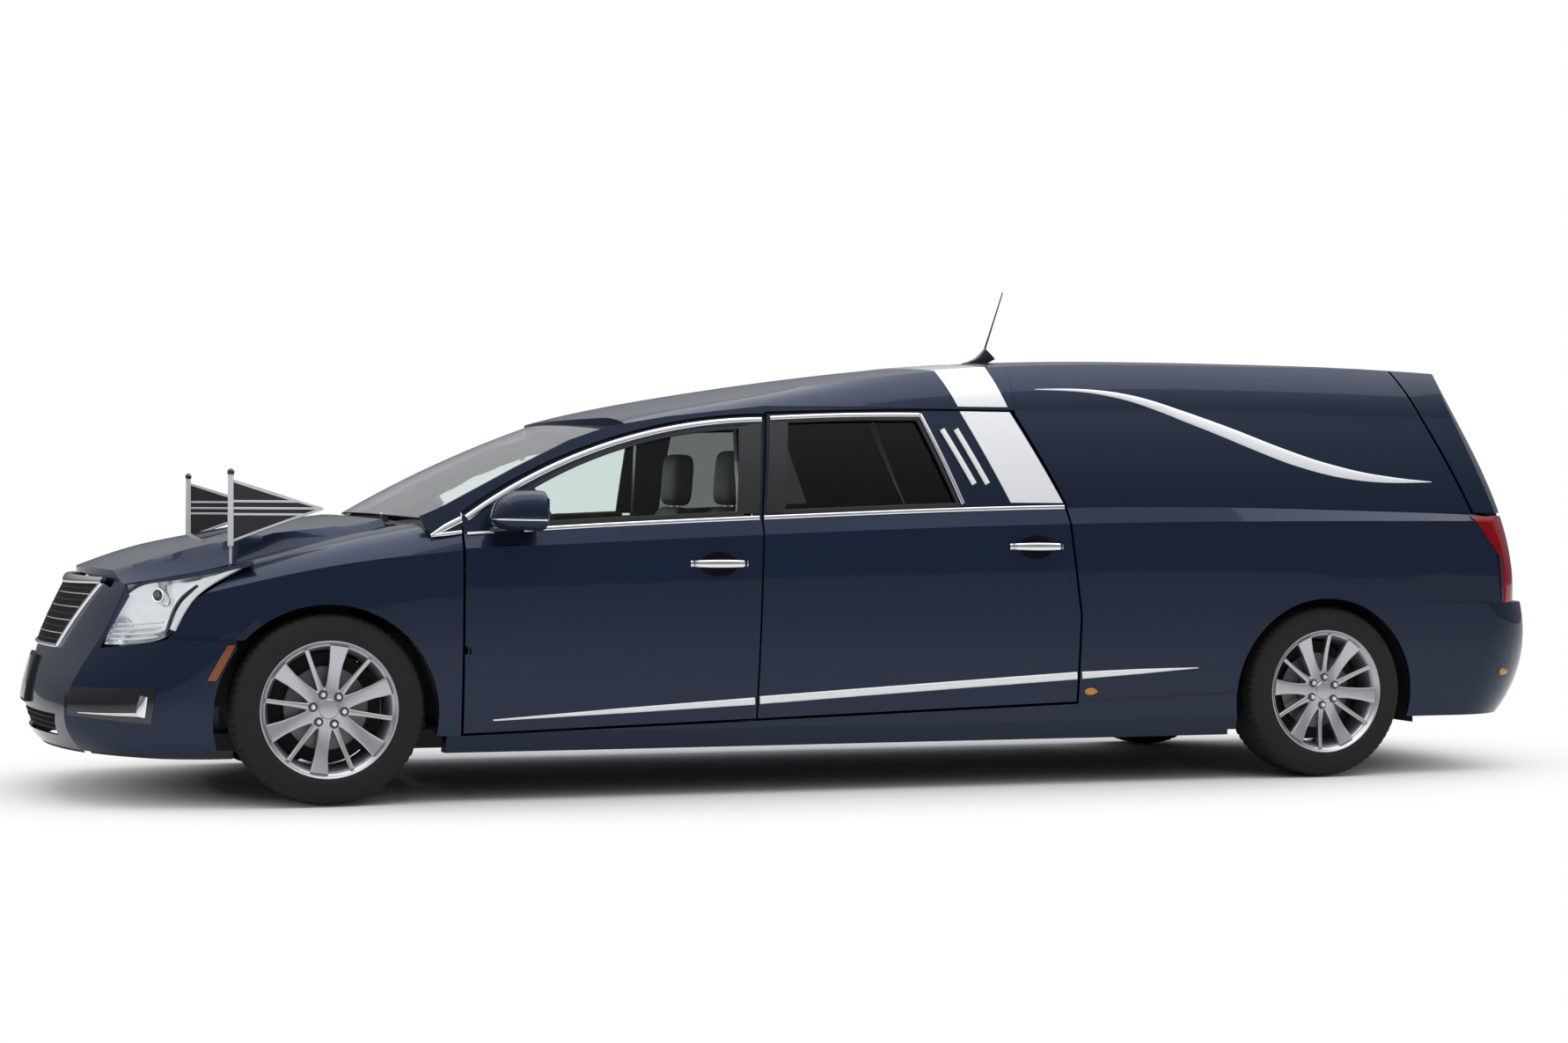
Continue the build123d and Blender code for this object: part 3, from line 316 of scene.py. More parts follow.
def bulge(v, a, b, c):
    """First coordinate of the circle through three points where the second is v, on its outer side."""
    cu, cv, r = circle(a, b, c)
    return cu + np.sqrt(np.maximum(r ** 2 - (v - cv) ** 2, 0.0))


def arc(a, b, c, t):
    """Points at shares t of the arc from a through b to c, in equal angles."""
    cx, cy, r = circle(a, b, c)
    start = np.arctan2(a[1] - cy, a[0] - cx)
    turn = lambda p: (np.arctan2(p[1] - cy, p[0] - cx) - start + np.pi) % (2 * np.pi) - np.pi
    half, whole = turn(b), turn(c)
    whole = np.where(half * whole < 0, whole + np.sign(half) * 2 * np.pi, whole)
    angle = start + whole * t
    return np.stack([cx + r * np.cos(angle), cy + r * np.sin(angle)], -1)


def side_y(x, z):
    """Half width of the side wall: a sill line, a bowed wall, a shoulder ledge and a leaning upper wall."""
    sill, rocker, mid, sh_z, sh, belt_z, belt, top_z, top = columns(SIDE, x)
    low = sill + (rocker - sill) * (z - SILL_Z) / (ROCKER_Z - SILL_Z)
    wall = bulge(z, (rocker, ROCKER_Z), (mid, (ROCKER_Z + sh_z) / 2), (sh, sh_z))
    ledge = sh + (belt - sh) * (z - sh_z) / (belt_z - sh_z)
    upper = bulge(z, (belt, belt_z), ((belt + top) / 2 + LEAN, (belt_z + top_z) / 2), (top, top_z))
    return np.select([z < ROCKER_Z, z < sh_z, z < belt_z], [low, wall, ledge], upper)


def roof_knee(x):
    """The ends of a roof section's side arc, the point where it is widest, and the crown's height."""
    base_z, base, eave_z, eave, crown = columns(ROOF, x)
    knee = (base + KNEE_SHARE_Y * (eave - base) - KNEE_DROP, base_z + KNEE_SHARE_Z * (eave_z - base_z))
    return (base, base_z), knee, (eave, eave_z), crown


def flank_y(x, z):
    """Half width of side wall and roof side together: the roof's side arc takes over above the seam."""
    above = bulge(z, *roof_knee(x)[:3])
    return np.where(z > SEAM_Z, above, side_y(x, np.minimum(z, SEAM_Z)))


def skin_y(x, z):
    """Half width of the quarter panel's skin: the flank averaged over a span that fades at both ends."""
    top = np.minimum(SMOOTH_HIGH, columns(ROOF, x)[2] - 20)
    rise = np.clip((z - SMOOTH_LOW + SMOOTH_REACH) / SMOOTH_REACH, 0, 1)
    fall = np.clip((top - z) / SMOOTH_REACH + 0.5, 0, 1)
    reach = SMOOTH_REACH * np.minimum(rise, fall)
    steps = np.linspace(-1, 1, 21)
    mean = sum(flank_y(x, z + reach * k) for k in steps) / len(steps)
    return np.maximum(mean, flank_y(x, z)) + SKIN_LIFT


def roof_point(x, t):
    """Point of the roof section at share t from the right seam over the crown to the left seam."""
    base, knee, eave, crown = roof_knee(x)
    s = np.where(t > 0.5, 1 - t, t)
    side = arc(base, knee, eave, np.clip(s / SIDE_SHARE, 0, 1))
    along = np.clip((s - SIDE_SHARE) / TOP_SHARE, 0, 1)
    top = arc(eave, (0 * crown, crown), (-eave[0], eave[1]), along)
    yz = np.where((s < SIDE_SHARE)[..., None], side, top)
    return np.stack([x, np.where(t > 0.5, -yz[..., 0], yz[..., 0]), yz[..., 1]], -1)


def end_circle(table, z):
    """Centre and radius, in plan, of the arc across the nose or tail at a height."""
    cx, kx, ky = columns(table, z)[:3]
    return circle((kx, ky), (cx, 0 * cx), (kx, -ky))


def nose_y(x, z):
    """Half width of the nose at a station: a corner arc at the side, the front arc ahead of the corner."""
    kx, ky, mx, my, sy = columns(NOSE, z)[1:]
    side = bulge(x, (ky, kx), (my, mx), (sy, 0 * sy + NOSE_BACK))
    ux, _, r = end_circle(NOSE, z)
    return np.where(x < kx, np.sqrt(np.maximum(r ** 2 - (x - ux) ** 2, 0.0)), side)


def nose_x(y, z):
    """Station of the nose's front arc at a distance from the middle."""
    ux, _, r = end_circle(NOSE, z)
    return ux - np.sqrt(np.maximum(r ** 2 - y ** 2, 0.0))


def tail_x(y, z, table=TAIL):
    """Station of the tail's rear arc at a distance from the middle."""
    ux, _, r = end_circle(table, z)
    return ux + np.sqrt(np.maximum(r ** 2 - y ** 2, 0.0))


def bumper_x(y, z):
    """Station of the rear bumper's arc at a distance from the middle."""
    return tail_x(y, z, TAIL_BUMPER)


def bumper_y(x, z, table=TAIL_BUMPER):
    """Half width of the rear corner arc, of the bumper unless another table is given."""
    kx, ky, mx, my, sx, sy = columns(table, z)[1:]
    return bulge(x, (ky, kx), (my, mx), (sy, sx))


def corner_y(x, z):
    """Half width near the tail: the side wall, or the arc of the rear corner where that is narrower."""
    return np.minimum(side_y(x, z), bumper_y(x, z, TAIL))


def path(points, n):
    """Smooth line of n points: a natural spline through the given points by their chord length."""
    points = np.asarray(points, float)
    chord = np.r_[0, np.cumsum(np.linalg.norm(np.diff(points, axis=0), axis=1))]
    return spline(np.c_[chord, points], np.linspace(0, chord[-1], n))


def unit(v):
    """Vectors scaled to length one."""
    return v / np.maximum(np.linalg.norm(v, axis=-1, keepdims=True), 1e-9)


def on_side(x, z, surface=flank_y):
    """Points of a side surface at stations and heights, with their outward normals from 1 mm steps."""
    y = surface(x, z)
    normal = unit(np.stack([-(surface(x + 1, z) - surface(x - 1, z)) / 2, 1 + 0 * y,
                            -(surface(x, z + 1) - surface(x, z - 1)) / 2], -1))
    return np.stack([x, y, z], -1), normal


def on_end(y, z, surface=nose_x):
    """Points of the nose or tail at distances and heights, with their outward normals from 1 mm steps."""
    x = surface(y, z)
    way = -1 if surface is nose_x else 1
    normal = unit(np.stack([way + 0 * x, -way * (surface(y + 1, z) - surface(y - 1, z)) / 2,
                            -way * (surface(y, z + 1) - surface(y, z - 1)) / 2], -1))
    return np.stack([x, y, z], -1), normal


# Shapes: each is a list of points in millimetres and a list of four-cornered faces

def weave(nu, nv, wrap_u=False, wrap_v=False):
    """Faces of a grid of nu by nv points; a wrapped direction joins its last line to its first."""
    rows, across = (n if wrap else n - 1 for n, wrap in ((nu, wrap_u), (nv, wrap_v)))
    i, j = np.meshgrid(np.arange(rows), np.arange(across), indexing="ij")
    k, m = (i + 1) % nu, (j + 1) % nv
    return np.stack([i * nv + j, k * nv + j, k * nv + m, i * nv + m], -1).reshape(-1, 4)


def shell(grid, wrap_u=False, wrap_v=False):
    """A grid of points as a shape."""
    nu, nv = grid.shape[:2]
    return grid.reshape(-1, 3), weave(nu, nv, wrap_u, wrap_v)


def join(*shapes):
    """Several shapes as one."""
    starts = np.cumsum([0] + [len(points) for points, _ in shapes])
    return (np.concatenate([points for points, _ in shapes]),
            np.concatenate([faces + start for (_, faces), start in zip(shapes, starts)]))


def flip(shape):
    """The same shape on the other side of the car."""
    return shape[0] * np.array([1, -1, 1]), shape[1][:, ::-1]


def sunk(shape, depth):
    """The same shape moved inwards from the car's right side."""
    return shape[0] - depth * OUT, shape[1]


def spread(values, n):
    """A short list of values drawn out to n."""
    values = np.atleast_1d(values)
    return np.interp(np.linspace(0, 1, n), np.linspace(0, 1, len(values)), values)


def bead(line, across, normal, width, height, sink=2.0, loops=16, power=0.8):
    """Closed strip: a rounded section of a width, a height above and a sink below, carried along a line."""
    n = len(line)
    width, height, sink = (np.broadcast_to(np.asarray(v, float), n) for v in (width, height, sink))
    across, normal = (np.broadcast_to(v, (n, 3)) for v in (across, normal))
    angle = np.linspace(0, 2 * np.pi, loops, endpoint=False)
    c, s = np.cos(angle), np.sin(angle)
    side = np.sign(c) * np.abs(c) ** power * width[:, None] / 2
    rise = np.abs(s) ** power * np.where(s > 0, height[:, None], -sink[:, None])
    ring = line[:, None] + across[:, None] * side[..., None] + normal[:, None] * rise[..., None]
    middle = ring.mean(1, keepdims=True) + 0 * ring
    return shell(np.concatenate([middle[:1], ring, middle[-1:]]), wrap_v=True)


def side_strip(points, width, height=4.0, n=60, surface=flank_y, **more):
    """Bead along a smooth line drawn on a side surface."""
    x, z = path(points, n).T
    line, normal = on_side(x, z, surface)
    across = unit(np.cross(normal, np.gradient(line, axis=0)))
    return bead(line, across, normal, spread(width, n), spread(height, n), **more)


def end_strip(points, width, height=5.0, n=40, lift=0.0, surface=nose_x, **more):
    """Bead along a smooth line drawn on the nose or tail as seen from its end."""
    y, z = path(points, n).T
    line, normal = on_end(y, z, surface)
    across = unit(np.cross(normal, np.gradient(line, axis=0)))
    return bead(line + normal * lift, across, normal, spread(width, n), spread(height, n), **more)


def cross_line(half, z, rise=0.0):
    """Three points across the car at a height, the middle one a little higher."""
    return [(-half, z), (0, z + rise), (half, z)]


def ruled(a, b, nu, nv):
    """Grid between two lines of points, straight from one to the other."""
    a, b = path(a, nu), path(b, nu)
    s = np.linspace(0, 1, nv)[None, :, None]
    return a[:, None] * (1 - s) + b[:, None] * s


def slab(grid, normal, top, bottom):
    """Closed plate: a grid lifted and sunk along its normals and joined round its rim."""
    nu, nv = grid.shape[:2]
    faces = weave(nu, nv)
    rim = np.r_[np.arange(nv), np.arange(1, nu) * nv + nv - 1, (nu - 1) * nv + np.arange(nv - 2, -1, -1),
                np.arange(nu - 2, 0, -1) * nv]
    nxt = np.roll(rim, -1)
    wall = np.stack([rim, nxt, nxt + nu * nv, rim + nu * nv], -1)
    points = np.concatenate([(grid + normal * top).reshape(-1, 3), (grid - normal * bottom).reshape(-1, 3)])
    return points, np.concatenate([faces, faces[:, ::-1] + nu * nv, wall])


def side_plate(a, b, nu=24, nv=8, top=2.0, bottom=2.0, surface=flank_y):
    """Plate on a side surface between two lines in side view."""
    grid = ruled(a, b, nu, nv)
    return slab(*on_side(grid[..., 0], grid[..., 1], surface), top, bottom)


def end_plate(a, b, nu, nv, top, bottom, surface=nose_x):
    """Plate on the nose or tail between two lines as seen from its end."""
    grid = ruled(a, b, nu, nv)
    return slab(*on_end(grid[..., 0], grid[..., 1], surface), top, bottom)


def end_panel(half, low, high, nu, nv, top, bottom, surface=nose_x):
    """Upright plate on the nose or tail between two heights, as wide to each side."""
    edges = [[(y, low), (y, (low + high) / 2), (y, high)] for y in (-half, half)]
    return end_plate(*edges, nu, nv, top, bottom, surface)


def turned(profile, centre, n=96, wave=None):
    """Profile of radius and offset turned about the cross axis; wave takes from the radius."""
    profile = np.asarray(profile, float)
    angle = np.linspace(0, 2 * np.pi, n, endpoint=False)
    r = np.broadcast_to(profile[None, :, 0], (n, len(profile)))
    if wave is not None:
        r = r - wave(angle[:, None], profile[None, :, 0], profile[None, :, 1])
    grid = np.stack([r * np.cos(angle)[:, None], 0 * r + profile[None, :, 1], r * np.sin(angle)[:, None]], -1)
    return shell(grid + np.asarray(centre, float), wrap_u=True, wrap_v=True)


def soft(w, power):
    """Signed power, which turns a circle's sine or cosine into a rounded square's."""
    return np.sign(w) * np.abs(w) ** power


PAD_CROWN, PAD_WAIST, SEAM_WIDTH = 0.16, 0.05, 0.06


def pad(centre, a, b, c, power=0.45, channels=0, groove=0.0, n=48):
    """Stuffed form: a rounded box whose faces crown, with channels sewn along its first axis."""
    v = np.linspace(-np.pi / 2, np.pi / 2, n)[:, None]
    u = np.linspace(0, 2 * np.pi, 2 * n, endpoint=False)[None, :]
    bow = soft(np.cos(v), power)
    p, q, r = bow * soft(np.cos(u), power), bow * soft(np.sin(u), power), soft(np.sin(v), power) + 0 * u
    crown = 1 + PAD_CROWN * (1 - p ** 2) * (1 - q ** 2)
    waist = 1 - PAD_WAIST * (1 - p ** 2)
    seam = 1
    if channels:
        off = np.mod(q * (channels + 1) / 2 + 0.5, 1) - 0.5
        seam = 1 - groove * np.exp(-(off / SEAM_WIDTH) ** 2)
    grid = (np.asarray(centre, float) + p[..., None] * np.asarray(a, float)
            + (q * waist)[..., None] * np.asarray(b, float)
            + (r * crown * seam)[..., None] * np.asarray(c, float))
    return shell(grid, wrap_v=True)


def rod(a, b, r0, r1=None, loops=14, n=8):
    """Round bar between two points."""
    a, b = np.asarray(a, float), np.asarray(b, float)
    ahead = unit(b - a)
    side = unit(np.cross(ahead, [0.3, 0.9, 0.1]))
    s = np.linspace(0, 1, n)
    r = r0 + (r0 if r1 is None else r1) * s - r0 * s
    return bead(a + s[:, None] * (b - a), side, np.cross(ahead, side), 2 * r, r, r, loops, 1.0)


def ball(centre, r, n=14):
    """Sphere by latitude and longitude."""
    return pad(centre, r * AFT, r * OUT, r * UP, 1.0, n=n)


def place(name, shape, look, body="body", sharp=40.0, stands=None):
    """Make a shape a mesh piece in metres that rides on a body, and may stand for a solid."""
    points, faces = shape
    mesh = bpy.data.meshes.new(name)
    mesh.from_pydata(((points + SHIFT) / 1000.0).tolist(), [], faces.tolist())
    work = bmesh.new()
    work.from_mesh(mesh)
    bmesh.ops.remove_doubles(work, verts=work.verts, dist=2e-6)
    bmesh.ops.dissolve_degenerate(work, edges=work.edges, dist=1e-6)
    bmesh.ops.recalc_face_normals(work, faces=work.faces)
    work.to_mesh(mesh)
    work.free()
    mesh.shade_smooth()
    mesh.set_sharp_from_angle(angle=math.radians(sharp))
    mesh.materials.append(finish(look))
    piece = bpy.data.objects.new(name, mesh)
    bpy.context.scene.collection.objects.link(piece)
    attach(piece, body)
    if stands:
        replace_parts(piece, stands)
    return piece


def pair(name, shape, look, body="body", sharp=40.0, stands=None):
    """The right piece and its mirrored left one; {s} in a name stands for the side."""
    shapes = {"right": shape, "left": flip(shape)}
    return {s: place(name.format(s=s), shapes[s], look, body.format(s=s), sharp,
                     stands and stands.format(s=s)) for s in SIDES}


# Pieces

def belt_line(x0, x1, lift=3.0, n=9):
    """Points along the belt of the side wall, a little above its edge."""
    x = np.linspace(x0, x1, n)
    return np.c_[x, columns(SIDE, x)[5] + lift]


def arch_line(a, b, c, n=15):
    """Points along an arc in side view."""
    return arc(a, b, c, np.linspace(0, 1, n))


def side_trim_piece():
    """Bright strips round the windows, along the belt and along the sills, and the sill's seam."""
    def bright(name, line, width, door):
        """A bright strip along a line, on one end's doors."""
        pair(name + "_strip_{s}", side_strip(line, width, 5), "bright_trim", f"door_{door}_{{s}}")

    bright("roofline", arch_line((500, 1043), (987, 1298), (1655, 1424)), (24, 22, 20, 18), "front")
    bright("rear_roofline", arch_line((1690, 1430), (2000, 1446), (2300, 1452)), 17, "rear")
    bright("rear_pillar", [(2303, 1455), (2384, 1274), (2456, 1106)], 17, "rear")
    tip = join(side_strip([(366, 978), (420, 1008), (480, 1038)], (10, 24, 24), 5),
               side_strip([(366, 977), (420, 984), (480, 992)], (10, 15, 13), 5))
    pair("window_tip_{s}", tip, "bright_trim")
    bright("belt_tip", belt_line(500, 640, 2), (11, 9, 7), "front")
    bright("belt_front", belt_line(712, 1622), 17, "front")
    bright("belt_rear", belt_line(1640, 2884), 17, "rear")
    for name, line, width, body in (
            ("front", [(598, 302), (1100, 329), (1602, 355)], (6, 20, 28), "door_front_{s}"),
            ("rear", [(1622, 358), (2280, 396), (2934, 432)], 30, "door_rear_{s}"),
            ("quarter", [(2956, 433), (3210, 445), (3462, 456)], (29, 20, 4), "body")):
        pair(f"sill_{name}_strip_{{s}}", side_strip(line, width, 6), "silver_paint", body)
    pair("sill_seam_{s}", side_strip([(2962, 333), (3290, 343), (3640, 353)], 7, 0.8), "black_trim")


def window_trim_piece():
    """Black pillar covers, seals round the door windows and seals behind the doors' shut gaps."""
    for end, fore, aft in (("front", [(1532, 1064), (1563, 1396)], [(1622, 1066), (1650, 1410)]),
                           ("rear", [(1648, 1066), (1687, 1418)], [(1724, 1066), (1760, 1418)])):
        cover = side_plate(fore, aft, bottom=13)
        pair(end + "_pillar_cover_{s}", cover, "gloss_black", f"door_{end}_{{s}}")
    gap = join(side_strip(arch_line((488, 1062), (976, 1318), (1660, 1444)), 34, 3, 80, sink=8),
               side_strip(arch_line((1672, 1452), (2180, 1470), (2694, 1474)), 30, 3, 60, sink=8),
               side_strip([(1613, 300), (1634, 1050), (1668, 1440)], 34, 3, 60, sink=8))
    pair("door_gap_seal_{s}", sunk(gap, 24), "black_trim")
    front = join(side_strip(arch_line((652, 1098), (1014, 1281), (1568, 1392)), 14, 1.5, sink=15),
                 side_strip(belt_line(640, 1560, 20), 22, 2.5, sink=15))
    rear = join(side_strip([(1752, 1420), (2020, 1432), (2284, 1437)], 14, 1.5, sink=15),
                side_strip(belt_line(1716, 2440, 20), 22, 2.5, sink=15),
                side_strip([(2288, 1440), (2364, 1269), (2436, 1104)], 12, 1.5, sink=15))
    for end, seal in zip(ENDS, (front, rear)):
        pair(end + "_window_seal_{s}", seal, "black_trim", f"door_{end}_{{s}}")


# The band's edges on the roof: station, slope and height where they start; the line of the swept strip
BAND_FRONT, BAND_REAR, BAND_MIDDLE = (2474.0, 0.46, 1471.0), (2682.0, 0.39, 1474.0), 2540.0
SWEEP = ((2805, 1562), (3009, 1561), (3232, 1530), (3461, 1459), (3651, 1393), (3809, 1335), (4052, 1262),
         (4302, 1221), (4564, 1209))
LOUVRES = (((2389, 1396), (2506, 1184)), ((2447, 1397), (2562, 1185)))


def band_piece():
    """Silver band from the belt over the roof, with the swept strip behind it and two louvres in front."""
    pair("band_door_{s}", side_plate([(2472, 1468), (2657, 1112)], [(2682, 1468), (2879, 1112)], 40, 12, 2.5),
         "silver_paint", "door_rear_{s}")
    t = np.linspace(0.012, 0.988, 90)[:, None]
    share = np.linspace(0, 1, 14)[None, :]
    x = np.full(np.broadcast_shapes(t.shape, share.shape), BAND_MIDDLE)
    for _ in range(3):
        z = roof_point(x, t + 0 * share)[..., 2]
        edges = [x0 - slope * (z - z0) for x0, slope, z0 in (BAND_FRONT, BAND_REAR)]
        x = edges[0] * (1 - share) + edges[1] * share
    grid = roof_point(x, t + 0 * share)
    normal = unit(np.cross(np.gradient(grid, axis=1), np.gradient(grid, axis=0)))
    outward = (normal * (grid - np.array([BAND_MIDDLE, 0.0, 1400.0]))).sum(-1, keepdims=True)
    normal = normal * np.where(outward < 0, -1, 1)
    place("band_roof", slab(grid, normal, 2.5, 2.0), "silver_paint")
    sweep = side_strip(SWEEP, (3, 14, 30, 44, 52, 54, 46, 28, 3), (3, 7, 7, 7, 3), 120, skin_y)
    pair("sweep_strip_{s}", sweep, "silver_paint")
    for k, (top, foot) in enumerate(LOUVRES, 1):
        middle, past = np.add(top, foot) / 2, np.array([3, -6])
        pair(f"louvre_{k}_{{s}}", side_strip([top, middle, foot], 22, 6, 40, power=0.7), "silver_paint",
             "door_rear_{s}")
        bed = side_strip([top - past, middle, foot + past], 32, 1.4, 40, power=0.7)
        pair(f"louvre_bed_{k}_{{s}}", bed, "black_trim", "door_rear_{s}")


HANDLES = (("front", 1342, 875), ("rear", 2640, 940))
HANDLE_LENGTH, HANDLE_STAND, CUP_HALF_LENGTH, CUP_HALF_HEIGHT = 225, 30, 74, 46


def handle_piece():
    """Pull handles: a bowed bar that stands off the door, with a dark dished disc behind it, painted shade of
    the cup's recess.
    """
    s = np.linspace(0, 1, 48)
    stand = HANDLE_STAND * np.minimum(1, 3.4 * np.sin(np.pi * np.clip(s * 1.04 - 0.02, 0, 1))) ** 0.7
    angle = np.linspace(0, 2 * np.pi, 48, endpoint=False)[:, None]
    r = np.linspace(0, 1, 8)[None, :]
    for end, x0, z in HANDLES:
        door = f"door_{end}_{{s}}"
        x = x0 + HANDLE_LENGTH * s
        line, normal = on_side(x, z + 0 * x)
        bar = bead(line + normal * (stand - 1)[:, None], UP, normal, 25 + 6 * np.sin(np.pi * s), 8, 6)
        pair(f"pull_handle_{end}_{{s}}", bar, "bright_trim", door, stands=f"handle_{end}_{{s}}")
        # Dark dished disc as painted shade: the door has no recess here, so the cup's shade is given as a
        # darker paint
        cx = x0 + 112 + CUP_HALF_LENGTH * r * np.cos(angle)
        cz = z - 2 + CUP_HALF_HEIGHT * r * np.sin(angle)
        y = flank_y(cx, cz)
        rim = np.stack([cx, y + 1.2 - 0.8 * (1 - r ** 2) + 0 * angle, cz], -1)
        back = np.stack([cx, y - 4 + 0 * angle, cz], -1)
        disc = shell(np.concatenate([rim, back[:, ::-1]], 1), wrap_u=True)
        pair(f"handle_cup_shade_{end}_{{s}}", disc, "painted_cup_shade", door)


# Mirror: its middle, how far it reaches each way, and its glass
MIRROR_X, MIRROR_Y, MIRROR_Z = 690, 990, 1070
MIRROR_FORE, MIRROR_AFT, MIRROR_HALF, MIRROR_UP, MIRROR_DOWN = 118, 78, 92, 74, 72
MIRROR_GLASS_Z, MIRROR_BACK, GLASS_HALF_Y, GLASS_HALF_Z = 1074, 767.5, 74, 46


def mirror_piece():
    """Door mirrors: a rounded shell cut flat at the back, with a bright line, a glass and a swept foot."""
    v = np.linspace(-np.pi / 2, np.pi / 2, 40)[:, None]
    u = np.linspace(0, 2 * np.pi, 72, endpoint=False)[None, :]
    bow = soft(np.cos(v), 0.62)
    p = bow * soft(np.cos(u), 0.75)
    q = bow * soft(np.sin(u), 0.75)
    h = soft(np.sin(v), 0.75) + 0 * u
    flat_back = MIRROR_AFT * np.tanh(2.4 * p) / np.tanh(2.4)
    x = MIRROR_X + np.where(p < 0, MIRROR_FORE * p * (1 - 0.24 * h), flat_back)
    y = MIRROR_Y + MIRROR_HALF * q * (1 - 0.08 * h)
    z = MIRROR_Z + np.where(h > 0, MIRROR_UP * h, MIRROR_DOWN * h) * (1 + 0.06 * p)
    grid = np.stack([x, y, z], -1)
    door = "door_front_{s}"
    pair("mirror_shell_{s}", shell(grid, wrap_v=True), "navy_paint", door, stands="mirror_{s}")
    keep = np.roll(grid[15], 26, axis=0)[6:60]
    out = unit(np.stack([keep[:, 0] - MIRROR_X, keep[:, 1] - MIRROR_Y, 0 * keep[:, 0]], -1))
    pair("mirror_line_{s}", bead(keep, UP, out, 6, 3, 3, 10), "bright_trim", door)
    s = np.linspace(-1, 1, 24)
    yy, zz = np.meshgrid(MIRROR_Y + GLASS_HALF_Y * s, MIRROR_GLASS_Z + GLASS_HALF_Z * s, indexing="ij")
    round_off = 1 - 0.14 * ((yy - MIRROR_Y) / GLASS_HALF_Y) ** 4
    zz = MIRROR_GLASS_Z + (zz - MIRROR_GLASS_Z) * round_off
    face = np.stack([0 * yy + MIRROR_BACK, yy, zz], -1)
    pair("mirror_glass_{s}", slab(face, AFT, 1.5, 3), "mirror_glass", door)
    foot = path([(640, 898, 1002), (668, 930, 1006), (690, 962, 1026)], 24)
    rise = unit(np.cross(AFT, np.gradient(foot, axis=0)))
    arm = bead(foot, AFT, rise, spread((118, 84, 70), 24), spread((12, 14, 18), 24), spread((14, 12, 10), 24))
    pair("mirror_foot_{s}", arm, "gloss_black", door)


# Wheels: profiles of radius and offset from the wheel's middle plane, outward positive
RIM = ((249, 116), (250.5, 112), (248, 107), (230, 103), (228, -100), (249, -107), (249, -114), (243, -116),
       (221, -104), (214, -60), (211, 30), (214, 62), (220, 84), (228, 99), (236, 107), (241, 111),
       (243, 115), (246, 117))
HUB = ((0, 98), (24, 98), (33, 96.5), (35, 92), (37, 91), (40, 90), (70, 87), (80, 81), (84, 70),
       (84, 30), (0, 30))
# Dark disc under each nut: painted shade of the nut's recess in the hub
NUT_SHADE_DISC = ((0, 93), (15, 93), (17, 91), (17, 78), (0, 78))
NUT = ((0, 103), (7, 103), (10, 99), (10.5, 88), (0, 88))
DISC = ((30, 22), (60, 22), (150, 22), (153, 20), (153, -2), (150, -4), (30, -4))
SHIELD = ((28, -12), (120, -12), (200, -14), (203, -16), (200, -18), (28, -18))
TYRE_WALL = ((238, 104), (243, 112), (252, 116), (262, 119), (266, 120.4), (270, 119.6), (295, 122.3),
             (304, 122), (308, 120.6), (326, 116.5), (336, 110), (342, 102))
GROOVES, GROOVE_HALF, GROOVE_DEPTH, GROOVE_LIP = (-62, -21, 21, 62), 5.0, 7.0, 1.2
CUTS, CUT_DEPTH, CUT_SHARE, CUT_SLANT = 72, 4.5, 0.25, 0.004
TYRE_R, TREAD_HALF, TREAD_CROWN, SHOULDER, RIB_HALF = 351, 96, 6.0, 71, 15
SPOKE_FACE, SPOKE_RISE, SPOKE_DIP = 84, 22, 6
SPOKES, NUT_RADIUS, SPOKE_IN, SPOKE_OUT = 6, 57.0, 56, 230
SPOKE_TURN = {"front": math.radians(21), "rear": math.radians(55)}
SHIELD_BODY = {"front": "knuckle_{s}", "rear": "body"}


def tyre_profile():
    """Section of a tyre: two side walls and a crowned tread with points at every groove's edges."""
    inner = GROOVE_HALF - GROOVE_LIP
    lips = np.add.outer(GROOVES, [-GROOVE_HALF, -inner, inner, GROOVE_HALF]).ravel()
    y = np.sort(np.concatenate([lips, [-TREAD_HALF, -84, -72, 0, 72, 84, TREAD_HALF]]))
    tread = np.c_[TYRE_R - TREAD_CROWN * (y / TREAD_HALF) ** 2, y]
    wall = np.asarray(TYRE_WALL, float)
    return np.concatenate([wall * [1, -1], tread, wall[::-1], [[236, 60], [236, -60]]])


def tread_wave(angle, r, y):
    """Depth taken from the tread: four round grooves, and cross cuts on the shoulders and the middle rib."""
    groove = np.zeros_like(y)
    for g in GROOVES:
        groove = np.maximum(groove, (np.abs(y - g) < GROOVE_HALF - 0.5) * GROOVE_DEPTH)
    cut = (np.mod(angle / (2 * np.pi) * CUTS + np.abs(y) * CUT_SLANT, 1) < CUT_SHARE) * CUT_DEPTH
    on_tread = (np.abs(y) <= 102) & (r > 335)
    edge = ((np.abs(y) > SHOULDER) | (np.abs(y) < RIB_HALF)) & on_tread
    return np.maximum(groove * on_tread, cut * edge)


def spoke(turn, width, rise, sink, power=0.5, n=30):
    """Radial bar: a boxy section from hub to rim whose face dips a little in the middle of its length."""
    r = np.linspace(SPOKE_IN, SPOKE_OUT, n)
    s = (r - SPOKE_IN) / (SPOKE_OUT - SPOKE_IN)
    ahead = np.array([math.cos(turn), 0, math.sin(turn)])
    along = np.array([-math.sin(turn), 0, math.cos(turn)])
    face = SPOKE_FACE + SPOKE_RISE * s ** 1.4 - SPOKE_DIP * np.sin(np.pi * s)
    line = r[:, None] * ahead + face[:, None] * OUT
    return bead(line, along, OUT, spread(width, n), rise, sink, 20, power)


